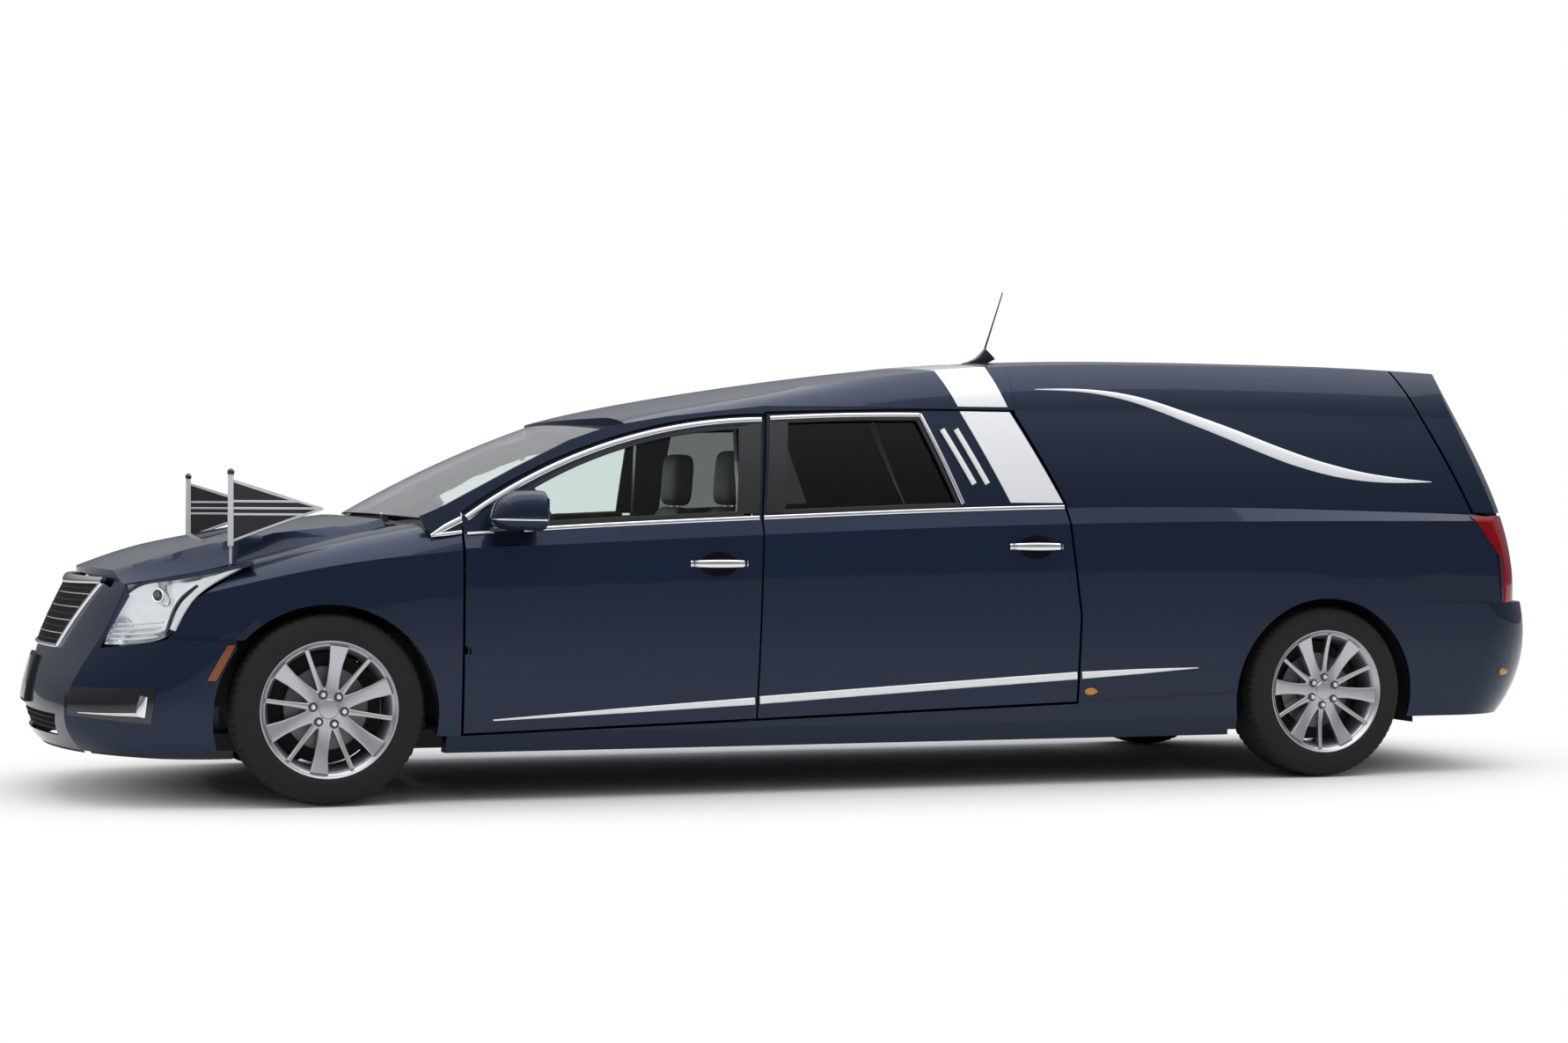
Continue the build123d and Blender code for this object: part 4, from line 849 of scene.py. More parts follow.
def wheel_piece():
    """Alloy wheels with broad and narrow spokes, nuts on dark discs that are painted shade of their recesses,
    brake discs, dust shields and grooved tyres.
    """
    for end, x in zip(ENDS, (0.0, WHEELBASE)):
        wheel = f"wheel_{end}_{{s}}"
        centre = np.array([x, WHEEL_Y, AXLE_Z])
        turns = SPOKE_TURN[end] + np.arange(SPOKES) * 2 * np.pi / SPOKES
        between = turns + np.pi / SPOKES
        bars = [spoke(a, (50, 44, 50, 68), 5, 30) for a in turns]
        bars += [spoke(a, (26, 20, 17, 17), 4, 26, 0.9) for a in between]
        body = join(turned(RIM, centre, 144), turned(HUB, centre, 96), *((p + centre, f) for p, f in bars))
        pair(f"alloy_wheel_{end}_{{s}}", body, "wheel_alloy", wheel, stands=wheel)
        spots = [centre + NUT_RADIUS * np.array([math.cos(a), 0, math.sin(a)]) for a in between]
        # seats: the dark discs round the nuts, painted shade of their recesses
        seats, nuts = (join(*(turned(profile, spot, n) for spot in spots))
                       for profile, n in ((NUT_SHADE_DISC, 24), (NUT, 12)))
        pair(f"nut_shade_discs_{end}_{{s}}", seats, "gloss_black", wheel)
        pair(f"wheel_nuts_{end}_{{s}}", nuts, "bright_trim", wheel)
        pair(f"brake_disc_{end}_{{s}}", turned(DISC, centre, 96), "brake_steel", wheel)
        shield = turned(SHIELD, centre, 72)
        pair(f"dust_shield_{end}_{{s}}", shield, "under_coat", SHIELD_BODY[end])
        tyre = turned(tyre_profile(), centre, 288, tread_wave)
        pair(f"grooved_tyre_{end}_{{s}}", tyre, "tyre_rubber", wheel, sharp=28.0, stands=f"tyre_{end}_{{s}}")


ARCH_X, ARCH_MID, ARCH_LOW, ARCH_WALL_R = 4048.0, 325.0, 215.0, 434.0
ARCH_WALL_Y, ARCH_SKIRT_Y, ARCH_SKIRT_TOP = 631.0, 862.0, 302


def arch_wall_piece():
    """Dark inner wall of each rear arch, a half disc on straight legs, with a skirt at each end."""
    turn = np.linspace(-np.pi / 2, np.pi / 2, 49)[:, None]
    rise = np.linspace(0, 1, 13)[None, :]
    x = ARCH_X + ARCH_WALL_R * np.sin(turn) + 0 * rise
    z = ARCH_LOW + rise * (ARCH_MID - ARCH_LOW + ARCH_WALL_R * np.cos(turn))
    shapes = [slab(np.stack([x, 0 * x + ARCH_WALL_Y, z], -1), OUT, 2, 2)]
    y, z = np.meshgrid(np.linspace(ARCH_WALL_Y, ARCH_SKIRT_Y, 9), np.linspace(ARCH_LOW, ARCH_SKIRT_TOP, 5),
                       indexing="ij")
    for end in (-1.0, 1.0):
        shapes.append(slab(np.stack([0 * y + ARCH_X + end * ARCH_WALL_R, y, z], -1), AFT, 2, 2))
    pair("arch_wall_{s}", join(*shapes), "under_coat")


GRILLE_LOW, GRILLE_MID, GRILLE_TOP, GRILLE_HALF, GRILLE_FLARE = 566.0, 682.0, 798.0, 400.0, 0.517
FIN_TOP, FIN_STEP = 796, 25.0


def grille_half(z):
    """Half width of the grille at a height: it widens evenly upwards."""
    return GRILLE_HALF + (z - GRILLE_LOW) * GRILLE_FLARE


def grille_line(z, inset):
    """Three points across the grille at a height."""
    return cross_line(grille_half(z) - inset, z)


def grille_piece():
    """Bright grille: a deep top bar, a frame, four cross bars, dark fins behind and a bare middle."""
    edges = [[(k * grille_half(z), z) for z in (GRILLE_LOW, GRILLE_MID, GRILLE_TOP)] for k in (-1, 1)]
    frame_bars = join(end_strip(grille_line(806, 4), (30, 44, 30), 15, 60, sink=4),
                      end_strip(grille_line(GRILLE_LOW, 0), 16, 13, 60, sink=3),
                      *(end_strip(edge, 16, 14, 40, sink=3) for edge in edges))
    place("grille_frame", frame_bars, "bright_trim", stands="grille")
    bars = [end_strip(grille_line(z, 6), 6, 8, 60, sink=0) for z in (612, 660, 708, 756)]
    place("grille_bars", join(*bars), "bright_trim")
    fins = []
    for y in np.arange(-500, 501, FIN_STEP):
        low = max(GRILLE_LOW + 4, GRILLE_LOW + (abs(y) - GRILLE_HALF + 6) / GRILLE_FLARE)
        upright = [(y, low), (y, (low + FIN_TOP) / 2), (y, FIN_TOP)]
        fins.append(end_strip(upright, 5, 5, 8, 1.5, sink=1, loops=8))
    fins += [end_strip(grille_line(z, 4), 5, 5, 40, 1.5, sink=1, loops=8) for z in (588, 636, 684, 732, 776)]
    place("grille_fins", join(*fins), "black_trim")
    place("grille_back", end_plate(*edges, 12, 60, 1.6, 3), "under_coat")


def nose_trim_piece():
    """Lower intake mesh, blank plate, recesses with a bright corner, lips and side markers."""
    mesh = [end_strip([(y, 256), (y, 290), (y, 324)], 4, 3, 8, -10, sink=6, loops=8)
            for y in np.arange(-510, 511, 30.0)]
    mesh += [end_strip(cross_line(525, z), 5, 3, 50, -8, sink=6, loops=8) for z in (268, 290, 312)]
    place("intake_mesh", join(*mesh), "black_trim")
    place("intake_back", end_panel(535, 246, 334, 8, 40, -26, 40), "under_coat")
    place("intake_lip", end_strip(cross_line(520, 244), 9, 5, 60), "bright_trim")
    place("plate_holder", end_panel(160, 348, 522, 12, 20, 14, 2), "black_trim")
    place("front_plate", end_panel(150, 358, 512, 12, 20, 16, -13), "gloss_black")
    bed = side_plate([(-896, 332), (-902, 384), (-901, 434)], [(-622, 306), (-614, 370), (-606, 434)],
                     14, 60, 1.2, 24, nose_y)
    pair("fog_bed_{s}", bed, "gloss_black")
    corner = join(side_strip([(-862, 344), (-770, 341), (-660, 340)], (5, 9, 14), 6, 40, nose_y),
                  side_strip([(-660, 334), (-654, 370), (-646, 406)], (40, 36, 28), 7, 30, nose_y))
    pair("fog_corner_{s}", corner, "bright_trim")
    lip = side_strip([(-818, 204), (-640, 198), (-338, 194)], (34, 38, 34), 2, 60, nose_y, power=0.5)
    pair("bumper_lip_{s}", lip, "black_trim")
    place("bumper_lip_front", end_strip(cross_line(600, 204, 2), 36, 2, 60, power=0.5), "black_trim")
    marker = side_plate([(-432, 462), (-398, 524), (-362, 586)], [(-402, 460), (-368, 524), (-334, 588)],
                        20, 8, 3, 3, nose_y)
    pair("side_marker_{s}", marker, "amber_lens")


# Headlamp: lower and upper edge in side view, and the projector's place
HEAD_LOW = ((-776, 588), (-690, 590), (-612, 602), (-560, 628), (-520, 690), (-470, 758), (-390, 816),
            (-300, 862), (-270, 876))
HEAD_HIGH = ((-776, 592), (-752, 660), (-722, 724), (-690, 778), (-650, 806), (-560, 826), (-440, 850),
             (-340, 869), (-270, 882))
EYE_X, EYE_Z, EYE_R = -592.0, 760.0, 16


def headlamp_piece():
    """Headlamps: a clear lens over a bright bowl, a round projector, a light strip and ribs."""
    lens = side_plate(HEAD_LOW, HEAD_HIGH, 60, 16, 1.5, 2.5, nose_y)
    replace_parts(pair("headlamp_lens_{s}", lens, "lens_glass")["right"], "headlamps")
    bowl = ruled(HEAD_LOW, HEAD_HIGH, 60, 24)
    points, normal = on_side(bowl[..., 0], bowl[..., 1], nose_y)
    v = np.linspace(-1, 1, 24)[None, :, None]
    u = np.linspace(0, 1, 60)[:, None, None]
    deep = 6 + 62 * (1 - v ** 4) * np.clip(1.25 - u, 0, 1) * np.clip(u * 14, 0, 1)
    pair("headlamp_bowl_{s}", slab(points - normal * deep, normal, 0, 3), "lamp_chrome")
    angle = np.linspace(0, 2 * np.pi, 40)
    oval = np.c_[EYE_X + 18 * np.cos(angle), EYE_Z + 23 * np.sin(angle)]
    ring = side_strip(oval, 8, 8, 60, nose_y, sink=30)
    pair("headlamp_ring_{s}", sunk(ring, 22), "bright_trim")
    eye_y = float(nose_y(np.array(EYE_X), np.array(EYE_Z))) - 44
    pair("headlamp_eye_{s}", ball((EYE_X, eye_y, EYE_Z), EYE_R, 24), "lamp_eye")
    strip = side_strip([(-548, 640), (-516, 706), (-470, 768), (-392, 826), (-300, 868)],
                       (24, 26, 24, 18, 6), 4, 60, nose_y, sink=10)
    pair("headlamp_strip_{s}", sunk(strip, 12), "lamp_white")
    wall = side_strip([(-572, 622), (-552, 690), (-520, 750), (-462, 800)], (9, 9, 8, 5), 3, 50, nose_y,
                      sink=30)
    pair("headlamp_wall_{s}", sunk(wall, 10), "gloss_black")
    ribs = [side_strip([(-752 + 8 * k, 606 + 17 * k), (-668, 606 + 18 * k), (-596 + 6 * k, 616 + 17 * k)],
                       8, 5, 24, nose_y, sink=6) for k in range(4)]
    pair("headlamp_ribs_{s}", sunk(join(*ribs), 26), "lamp_white")


# Flag: pole's place, the pennant's hoist from foot to top, its tip's height and its length
FLAG_X, FLAG_Y, FLAG_FOOT, FLAG_TOP, FLAG_TIP, FLAG_LENGTH = -335.0, 739.0, 952.0, 1178.0, 1075.0, 320


def flag_piece():
    """Flags on the front wings: a white pole with a black ball, a rod in a clamp, and a waving pennant."""
    x, y, foot, top, tip = FLAG_X, FLAG_Y, FLAG_FOOT, FLAG_TOP, FLAG_TIP
    pole = join(rod((x, y, foot - 14), (x, y, 1200), 11, 10, 20), rod((x, y, 840), (x, y, foot - 8), 5, 5))
    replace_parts(pair("flag_pole_{s}", pole, "white_enamel")["right"], "flags")
    pair("flag_ball_{s}", ball((x, y, 1204), 13, 20), "gloss_black")
    clamp = path([(x, y, 872), (x + 1, y + 22, 846), (x + 4, y + 66, 838), (x + 6, y + 108, 800)], 24)
    rise = unit(np.cross(AFT, np.gradient(clamp, axis=0)))
    clamp = bead(clamp, AFT, rise, spread((16, 26, 24, 12), 24), 5, 6)
    pair("flag_clamp_{s}", clamp, "under_steel")
    wave = lambda share: 7 * np.sin(2.6 * np.pi * share) * share
    s = np.linspace(0, 1, 40)[:, None]
    t = np.linspace(0, 1, 24)[None, :]
    pz = (foot + (top - foot) * t) * (1 - s * 0.97) + tip * s * 0.97
    cloth = np.stack([x + 9 + FLAG_LENGTH * s + 0 * t, y + (wave(s) + 0 * t), pz], -1)
    for side, piece in pair("pennant_{s}", slab(cloth, OUT, 0.6, 0.6), "flag_cloth").items():
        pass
    lines = [[(x + 8, z), (x + 170, (far + tip) / 2 + lift), (x + 332, tip)]
             for z, far, lift in ((foot + 5, foot, 5), (top - 5, top, -5))]
    lines += [[(x + 8, z), (x + 120, z), (x + end, z)] for z, end in ((1100, 250), (1075, 318), (1053, 262))]
    bars = []
    for line in lines:
        bx, bz = path(line, 30).T
        points = np.stack([bx, y + wave((bx - x - 9) / FLAG_LENGTH), bz], -1)
        bars.append(bead(points, unit(np.cross(OUT, np.gradient(points, axis=0))), OUT, 9, 1.6, 1.6, 10))
    pair("pennant_border_{s}", join(*bars), "white_enamel")


# Seats: part, centre, its three half axes and the number of sewn channels
SEAT_PARTS = (("cushion", (1312, 385, 500), (248, 0, -16), (0, 245, 0), (4, 0, 58), 4),
              ("back", (1602, 385, 770), (66, 0, 318), (0, 240, 0), (-58, 0, 12), 4),
              ("head_rest", (1668, 385, 1204), (8, 0, 108), (0, 128, 0), (-42, 0, 3), 0))


def seat_piece():
    """Front seats: crowned cushions, backs and head rests with sewn channels, on a base."""
    for name, centre, a, b, c, channels in SEAT_PARTS:
        shape = pad(centre, a, b, c, 0.42, channels, 0.10)
        for piece in pair(f"seat_{name}_{{s}}", shape, "seat_hide").values():
            if piece.name == "seat_cushion_right":
                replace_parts(piece, "seats")
    base = pad((1320, 385, 345), 205 * AFT, 190 * OUT, 80 * UP, 0.25, n=24)
    pair("seat_base_{s}", base, "black_trim")
    posts = join(*(rod((1655, y, 1040), (1664, y, 1130), 6) for y in (340, 430)))
    pair("head_rest_posts_{s}", posts, "bright_trim")


def rear_piece():
    """Rear trim: bright bars, a high lamp, a blank plate in its recess, tail lenses and small side lamps."""
    bar = end_strip(cross_line(470, 1085), (10, 26, 10), 7, surface=tail_x)
    place("rear_door_bar", bar, "bright_trim", "rear_door")
    place("high_lamp", end_strip(cross_line(170, 1612, 2), 16, 5, surface=tail_x), "red_lens", "rear_door")
    place("plate_bed", end_panel(268, 432, 558, 10, 24, -16, 24, bumper_x), "under_coat")
    plate = end_panel(250, 442, 550, 10, 24, -8, 14, bumper_x)
    place("rear_plate", plate, "white_enamel")
    place("rear_bumper_strip", end_strip(cross_line(540, 690, 2), 12, 5, 60, surface=bumper_x), "bright_trim")
    lens = side_plate([(4740, 1066), (4800, 996), (4858, 928)], [(4848, 1066), (4857, 996), (4866, 926)],
                      24, 10, surface=corner_y)
    pair("tail_lens_{s}", lens, "red_lens")
    cover = side_plate([(4868, 914), (4882, 812), (4894, 712)], [(4874, 914), (4938, 812), (4992, 712)],
                       24, 16, surface=corner_y)
    pair("tail_lamp_cover_{s}", cover, "navy_paint")
    for name, x, z, surface in (("sill_lamp", 2996.0, 368.0, side_y),
                                ("quarter_lamp", 4912.0, 417.0, bumper_y)):
        shape = side_strip([(x - 26, z), (x, z), (x + 26, z)], (10, 26, 30, 26, 10), 7, 20, surface)
        pair(name + "_{s}", shape, "yellow_lens")


# Quarter skin in side view: the rear door's edge and the tail's as station, slope and height, and the
# foremost station
QUARTER_FRONT, QUARTER_ROOF, QUARTER_REAR, QUARTER_GAP = (2899, 0.5427, 1107), 2706, (4762, 0.5177, 1078), 9


def quarter_piece():
    """Skin of each quarter panel from belt to eave: smooth over the seam between side wall and roof."""
    share = np.linspace(0, 1, 90)[:, None]
    height = np.linspace(0, 1, 60)[None, :]
    x = 3600 + 0 * share * height
    for _ in range(6):
        low = columns(SIDE, x)[5] + 4
        high = columns(ROOF, x)[2] - 3
        z = low + (high - low) * height
        front, rear = (x0 - slope * (z - z0) for x0, slope, z0 in (QUARTER_FRONT, QUARTER_REAR))
        front, rear = np.maximum(front, QUARTER_ROOF), rear - QUARTER_GAP
        x = front + (rear - front) * share
    pair("quarter_skin_{s}", slab(*on_side(x, z, skin_y), 0, 4), "navy_paint")


# Hood's ends in plan: station in the middle, how far it sweeps back, and at what distance from the middle;
# then how far its inner face lies under the plain crown, and its least thickness
HOOD_FRONT, HOOD_FRONT_SWEEP, HOOD_FRONT_HALF = -826, 136, 640
HOOD_REAR, HOOD_REAR_SWEEP, HOOD_REAR_HALF = 122, 104, 730
HOOD_DEPTH, HOOD_THIN = 18, 4


def hood_piece():
    """Hood: nearly flat to a crease on each side, then steep to the wing, with arcs for its two ends."""
    v = soft(np.linspace(-1, 1, 101)[None, :], 0.8)
    u = np.linspace(0, 1, 70)[:, None]
    edge = 700 + 0 * u * v
    for _ in range(6):
        y = v * edge
        front = HOOD_FRONT + HOOD_FRONT_SWEEP * np.minimum(np.abs(y) / HOOD_FRONT_HALF, 1.03) ** 2
        rear = HOOD_REAR + HOOD_REAR_SWEEP * (y / HOOD_REAR_HALF) ** 2
        x = front + (rear - front) * u
        edge, edge_z, crown = columns(HOOD, x)
    crease, crease_z = columns(CREASE, x)
    w, k = np.abs(v), crease / edge
    flat = crown - (crown - crease_z) * (w / k) ** 2.2
    steep = crease_z + (edge_z - crease_z) * (np.clip(w - k, 0, 1) / (1 - k)) ** 0.85
    under = edge_z + (crown - edge_z) * (1 - w ** 2) - HOOD_DEPTH
    top = np.stack([x, y, np.where(w < k, flat, steep)], -1)
    drop = np.maximum(top[..., 2] - under, HOOD_THIN)[..., None]
    place("hood_panel", slab(top, UP, 0, drop), "navy_paint", "hood", sharp=30.0, stands="hood")


def lamp_shelf_piece():
    """Painted strip that closes the wing between each headlamp's upper edge and the hood."""
    x, z = path(HEAD_HIGH[3:], 40).T
    edge, edge_z = columns(HOOD, x)[:2]
    outer = on_side(x, z, nose_y)[0] - 2 * OUT
    inner = np.stack([x, np.minimum(edge + 9, outer[:, 1] - 4), edge_z - 4], -1)
    share = np.linspace(0, 1, 8)[None, :, None]
    grid = outer[:, None] * (1 - share) + inner[:, None] * share
    pair("lamp_shelf_{s}", slab(grid, UP, 0, 14), "navy_paint")


def aerial_piece():
    """Roof aerial: a swept fin on a base, and a thin mast."""
    low, high = (np.array(corner) * 1000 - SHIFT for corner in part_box("antenna"))
    x, z = (low[0] + high[0]) / 2 - 30, low[2] + 6
    s = np.linspace(0, 1, 24)
    fin = path([(x - 68, 0, z), (x - 10, 0, z + 22), (x + 34, 0, z + 62)], 24)
    rise = unit(np.cross(np.gradient(fin, axis=0), OUT))
    mast = join(bead(fin, OUT, rise, 44 - 30 * s, 3 + 6 * s, 14 + 44 * s),
                rod((x + 22, 0, z + 44), (x + 110, 0, high[2]), 4.5, 2.6))
    place("aerial", mast, "gloss_black", stands="antenna")


# Stage, in metres
HORIZON, ZENITH, WHITE = (0.10, 0.11, 0.13, 1), (0.66, 0.67, 0.69, 1), (1, 1, 1, 1)
FLOOR_HALF, FLOOR_GREY = 40.0, (0.88, 0.88, 0.88, 1)
LAMP_SIZE, LAMP_PLACE = (12.0, 7.0), (0.2, -0.6, 5.6)
SENSOR_MM, CAMERA_REACH = 36.0, 200
CAMERA_PLACE, CAMERA_TURN = (-3.5620, -10.471, 1.0681), (0.3222, -0.0033, 0.005)


def smooth_step(tree, low, high):
    """Node that rises smoothly from 0 to 1 between two values."""
    return new_node(tree, "ShaderNodeMapRange", interpolation_type="SMOOTHSTEP",
                    **{"From Min": low, "From Max": high})


def surround(scene):
    """White to the camera, through glass and high up in gloss; else dark at the horizon and bright above."""
    world = bpy.data.worlds.new("studio")
    scene.world = world
    world.use_nodes = True
    tree = world.node_tree
    rays = new_node(tree, "ShaderNodeLightPath")
    coords = new_node(tree, "ShaderNodeTexCoord")
    split = new_node(tree, "ShaderNodeSeparateXYZ")
    ramp = new_node(tree, "ShaderNodeValToRGB")
    for stop, (position, colour) in zip(ramp.color_ramp.elements, ((0.0, HORIZON), (0.6, ZENITH))):
        stop.position, stop.color = position, colour
    high = smooth_step(tree, 0.30, 0.95)
    gloss = new_node(tree, "ShaderNodeMath", operation="MULTIPLY")
    either, every = (new_node(tree, "ShaderNodeMath", operation="MAXIMUM") for _ in range(2))
    mix = new_node(tree, "ShaderNodeMix", data_type="RGBA")
    mix.inputs["B"].default_value = WHITE
    wire(tree, (coords, "Generated", split, 0), (split, "Z", ramp, "Fac"), (rays, "Is Camera Ray", either, 0),
         (rays, "Is Transmission Ray", either, 1), (split, "Z", high, "Value"), (high, "Result", gloss, 0),
         (rays, "Is Glossy Ray", gloss, 1), (either, 0, every, 0), (gloss, 0, every, 1),
         (every, 0, mix, "Factor"),
         (ramp, "Color", mix, "A"), (mix, "Result", tree.nodes["Background"], "Color"))


def floor_paper():
    """Pale matt paper that keeps the shadow and fades to plain white away from the car."""
    material = bpy.data.materials.new("floor_paper")
    material.use_nodes = True
    tree = material.node_tree
    shader = tree.nodes["Principled BSDF"]
    for key, value in (("Base Color", FLOOR_GREY), ("Roughness", 0.9), ("Specular IOR Level", 0.1)):
        shader.inputs[key].default_value = value
    glow = new_node(tree, "ShaderNodeEmission", Strength=1.0)
    coords = new_node(tree, "ShaderNodeTexCoord")
    mapping = new_node(tree, "ShaderNodeMapping", Scale=(0.55, 1.0, 1.0))
    length = new_node(tree, "ShaderNodeVectorMath", operation="LENGTH")
    fade = smooth_step(tree, 1.3, 2.3)
    rays = new_node(tree, "ShaderNodeLightPath")
    seen = new_node(tree, "ShaderNodeMath", operation="ADD", use_clamp=True)
    both = new_node(tree, "ShaderNodeMath", operation="MULTIPLY")
    blend = new_node(tree, "ShaderNodeMixShader")
    wire(tree, (coords, "Object", mapping, "Vector"), (mapping, "Vector", length, 0),
         (length, "Value", fade, "Value"), (rays, "Is Camera Ray", seen, 0),
         (rays, "Is Transmission Ray", seen, 1),
         (seen, 0, both, 0), (fade, "Result", both, 1), (both, 0, blend, "Fac"), (shader, 0, blend, 1),
         (glow, 0, blend, 2), (blend, 0, tree.nodes["Material Output"], "Surface"))
    return material


def photo_camera(lens):
    """Camera at the photograph's place, turned by yaw, pitch and roll."""
    yaw, pitch, roll = CAMERA_TURN
    ahead = np.array([math.sin(yaw) * math.cos(pitch), math.cos(yaw) * math.cos(pitch), math.sin(pitch)])
    right = np.array([math.cos(yaw), -math.sin(yaw), 0.0])
    up = np.cross(right, ahead)
    camera = bpy.data.cameras.new("camera")
    camera.sensor_width, camera.lens, camera.clip_end = SENSOR_MM, lens, CAMERA_REACH
    basis = np.eye(4)
    basis[:3, 0] = math.cos(roll) * right + math.sin(roll) * up
    basis[:3, 1] = -math.sin(roll) * right + math.cos(roll) * up
    basis[:3, 2] = -ahead
    basis[:3, 3] = CAMERA_PLACE
    eye = bpy.data.objects.new("camera", camera)
    eye.matrix_world = Matrix(basis.tolist())
    return eye


def stage_piece():
    """Pale floor, white surround, soft overhead light and the photograph's camera."""
    _, stage = settings()
    scene = bpy.context.scene
    scene.view_settings.view_transform = "Standard"
    surround(scene)
    corners = np.array([[-1, -1, 0], [1, -1, 0], [1, 1, 0], [-1, 1, 0]], float) * FLOOR_HALF
    mesh = bpy.data.meshes.new("floor")
    mesh.from_pydata(corners.tolist(), [], [(0, 1, 2, 3)])
    mesh.materials.append(floor_paper())
    floor = bpy.data.objects.new("floor", mesh)
    scene.collection.objects.link(floor)
    lamp = bpy.data.lights.new("overhead", "AREA")
    lamp.shape = "RECTANGLE"
    lamp.size, lamp.size_y = LAMP_SIZE
    lamp.energy = stage.key_power
    light = bpy.data.objects.new("overhead", lamp)
    light.location = LAMP_PLACE
    scene.collection.objects.link(light)
    scene.camera = photo_camera(stage.lens)
    scene.collection.objects.link(scene.camera)


# Finishes of the solids; {s} stands for the side and {e} for the end
SOLIDS = {
    "navy_paint": ("hood roof rear_door front_bumper rear_bumper "
                   "body_side_{s} fender_{s} door_{e}_{s} mirror_{s}"),
    "screen_glass": "windscreen",
    "clear_glass": "headlamps window_front_{s}",
    "dark_glass": "rear_door_glass window_rear_{s}",
    "black_trim": "cowl dashboard steering_wheel antenna fuel_tank flags",
    "bright_trim": "grille handle_{e}_{s}",
    "tyre_rubber": "tyre_{e}_{s}",
    "wheel_alloy": "wheel_{e}_{s}",
    "under_steel": "rear_axle front_subframe engine exhaust front_structure knuckle_{s}",
    "under_coat": "floor_pan arch_liners",
    "seat_hide": "seats",
    "deck_wood": "casket_deck",
    "red_lens": "tail_lamps",
}


def solids_piece():
    """Finishes for the solids that stay in view."""
    for look, nodes in SOLIDS.items():
        for node in sorted({name.format(s=s, e=e) for name in nodes.split() for s in SIDES for e in ENDS}):
            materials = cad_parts[node].data.materials
            materials.clear()
            materials.append(finish(look))


class HEARSE_OT_stage(bpy.types.Operator):
    """Set up the floor, the light and the camera"""
    bl_idname = "hearse.stage"
    bl_label = "Stage"

    def execute(self, context):
        stage_piece()
        return {"FINISHED"}


class HEARSE_OT_solids(bpy.types.Operator):
    """Give the solids their finishes"""
    bl_idname = "hearse.solids"
    bl_label = "Solids"

    def execute(self, context):
        solids_piece()
        return {"FINISHED"}


class HEARSE_OT_side_trim(bpy.types.Operator):
    """Add the bright strips along the sides"""
    bl_idname = "hearse.side_trim"
    bl_label = "Side trim"

    def execute(self, context):
        side_trim_piece()
        return {"FINISHED"}


class HEARSE_OT_window_trim(bpy.types.Operator):
    """Add the pillar covers and window seals"""
    bl_idname = "hearse.window_trim"
    bl_label = "Window trim"

    def execute(self, context):
        window_trim_piece()
        return {"FINISHED"}


class HEARSE_OT_band(bpy.types.Operator):
    """Add the silver band, the swept strips and the louvres"""
    bl_idname = "hearse.band"
    bl_label = "Band"

    def execute(self, context):
        band_piece()
        return {"FINISHED"}


class HEARSE_OT_handles(bpy.types.Operator):
    """Add the door handles"""
    bl_idname = "hearse.handles"
    bl_label = "Handles"

    def execute(self, context):
        handle_piece()
        return {"FINISHED"}


class HEARSE_OT_mirrors(bpy.types.Operator):
    """Add the door mirrors"""
    bl_idname = "hearse.mirrors"
    bl_label = "Mirrors"

    def execute(self, context):
        mirror_piece()
        return {"FINISHED"}


class HEARSE_OT_wheels(bpy.types.Operator):
    """Add the wheels, discs and tyres, and the walls behind the rear ones"""
    bl_idname = "hearse.wheels"
    bl_label = "Wheels"

    def execute(self, context):
        wheel_piece()
        arch_wall_piece()
        return {"FINISHED"}


class HEARSE_OT_grille(bpy.types.Operator):
    """Add the grille"""
    bl_idname = "hearse.grille"
    bl_label = "Grille"

    def execute(self, context):
        grille_piece()
        return {"FINISHED"}


class HEARSE_OT_nose_trim(bpy.types.Operator):
    """Add the intake, plate holder, fog corners and markers"""
    bl_idname = "hearse.nose_trim"
    bl_label = "Nose trim"

    def execute(self, context):
        nose_trim_piece()
        return {"FINISHED"}


class HEARSE_OT_headlamps(bpy.types.Operator):
    """Add the headlamps"""
    bl_idname = "hearse.headlamps"
    bl_label = "Headlamps"

    def execute(self, context):
        headlamp_piece()
        return {"FINISHED"}


class HEARSE_OT_flags(bpy.types.Operator):
    """Add the wing flags"""
    bl_idname = "hearse.flags"
    bl_label = "Flags"

    def execute(self, context):
        flag_piece()
        return {"FINISHED"}


class HEARSE_OT_seats(bpy.types.Operator):
    """Add the seats"""
    bl_idname = "hearse.seats"
    bl_label = "Seats"

    def execute(self, context):
        seat_piece()
        return {"FINISHED"}


class HEARSE_OT_rear(bpy.types.Operator):
    """Add the rear trim"""
    bl_idname = "hearse.rear"
    bl_label = "Rear"

    def execute(self, context):
        rear_piece()
        return {"FINISHED"}


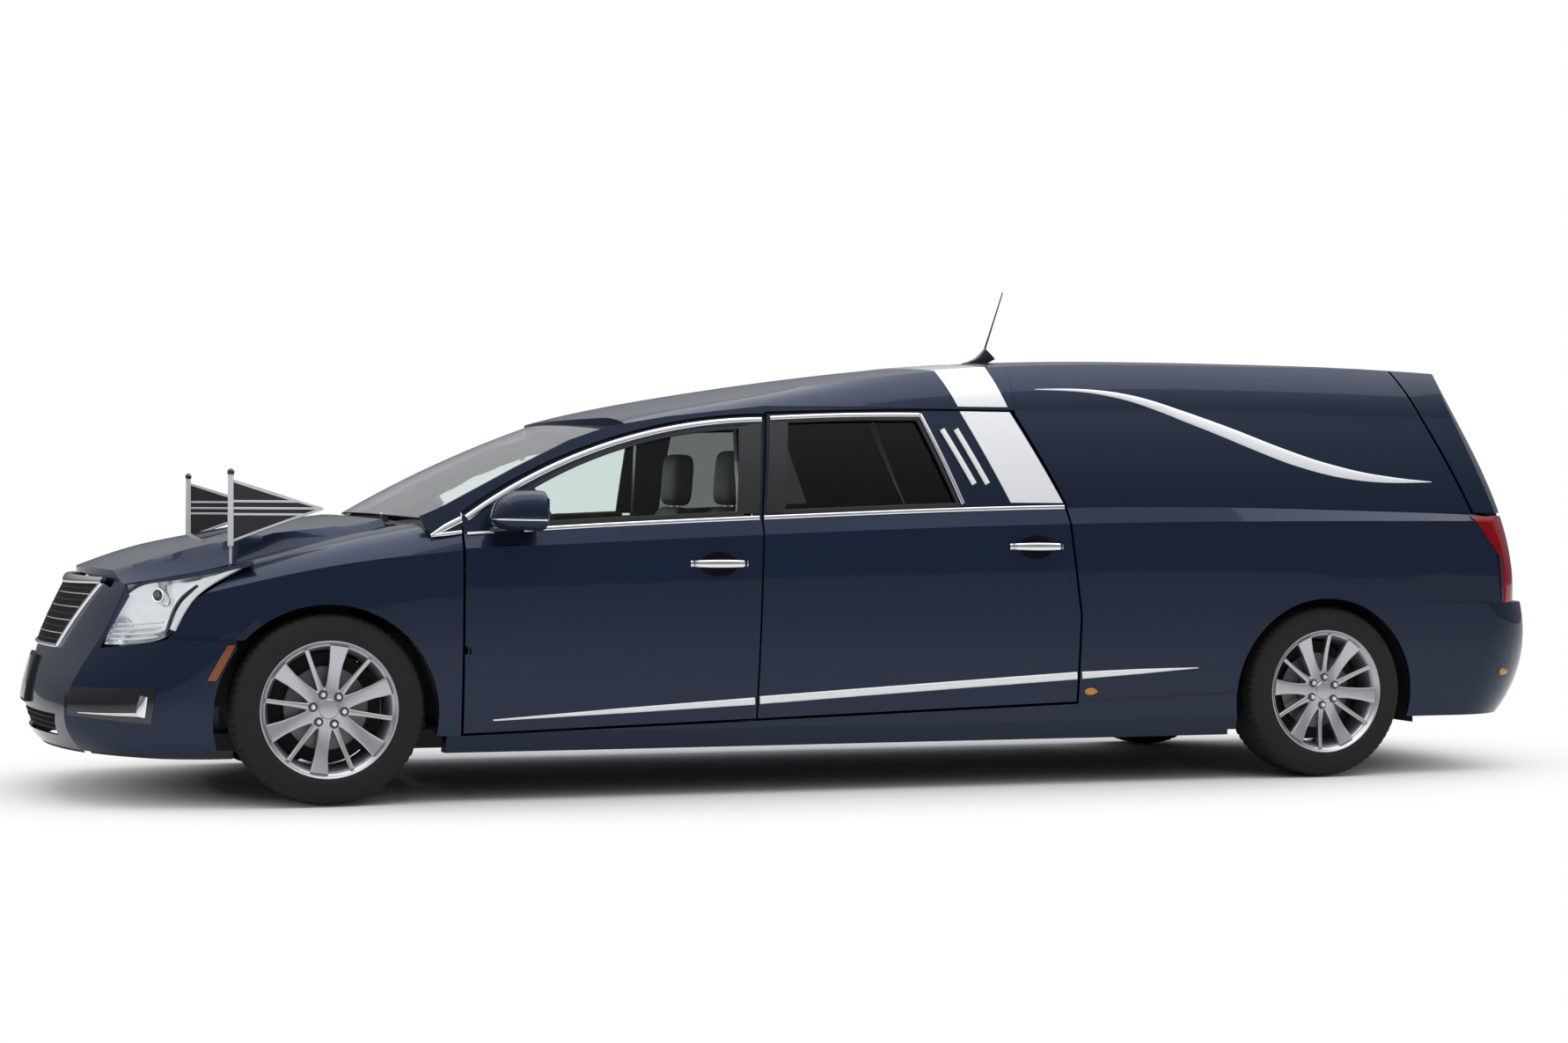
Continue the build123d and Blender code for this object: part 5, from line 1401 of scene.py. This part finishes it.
class HEARSE_OT_quarters(bpy.types.Operator):
    """Add the smooth skins of the quarter panels"""
    bl_idname = "hearse.quarters"
    bl_label = "Quarters"

    def execute(self, context):
        quarter_piece()
        return {"FINISHED"}


class HEARSE_OT_hood(bpy.types.Operator):
    """Add the hood panel and the strips beside it"""
    bl_idname = "hearse.hood"
    bl_label = "Hood"

    def execute(self, context):
        hood_piece()
        lamp_shelf_piece()
        return {"FINISHED"}


class HEARSE_OT_aerial(bpy.types.Operator):
    """Add the aerial"""
    bl_idname = "hearse.aerial"
    bl_label = "Aerial"

    def execute(self, context):
        aerial_piece()
        return {"FINISHED"}


OPERATORS = (HEARSE_OT_stage, HEARSE_OT_solids, HEARSE_OT_side_trim, HEARSE_OT_window_trim, HEARSE_OT_band,
             HEARSE_OT_handles, HEARSE_OT_mirrors, HEARSE_OT_wheels, HEARSE_OT_grille, HEARSE_OT_nose_trim,
             HEARSE_OT_headlamps, HEARSE_OT_flags, HEARSE_OT_seats, HEARSE_OT_rear, HEARSE_OT_quarters,
             HEARSE_OT_hood, HEARSE_OT_aerial)


class HEARSE_PT_panel(bpy.types.Panel):
    """Buttons for every group of pieces"""
    bl_label = "Hearse"
    bl_space_type = "VIEW_3D"
    bl_region_type = "UI"
    bl_category = "Hearse"

    def draw(self, context):
        for group in settings():
            for key in group.__annotations__:
                self.layout.prop(group, key)
        for operator in OPERATORS:
            self.layout.operator(operator.bl_idname)


CLASSES = (HearseFinish, HearseStage, *OPERATORS, HEARSE_PT_panel)


def register():
    """Make the classes and the two groups of values known."""
    for item in CLASSES:
        bpy.utils.register_class(item)
    bpy.types.Scene.hearse_finish = bpy.props.PointerProperty(type=HearseFinish)
    bpy.types.Scene.hearse_stage = bpy.props.PointerProperty(type=HearseStage)


def unregister():
    """Take them out again."""
    del bpy.types.Scene.hearse_stage
    del bpy.types.Scene.hearse_finish
    for item in reversed(CLASSES):
        bpy.utils.unregister_class(item)


def main():
    """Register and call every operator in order."""
    register()
    for operator in OPERATORS:
        group, name = operator.bl_idname.split(".")
        getattr(getattr(bpy.ops, group), name)()


if __name__ == "__main__":
    main()
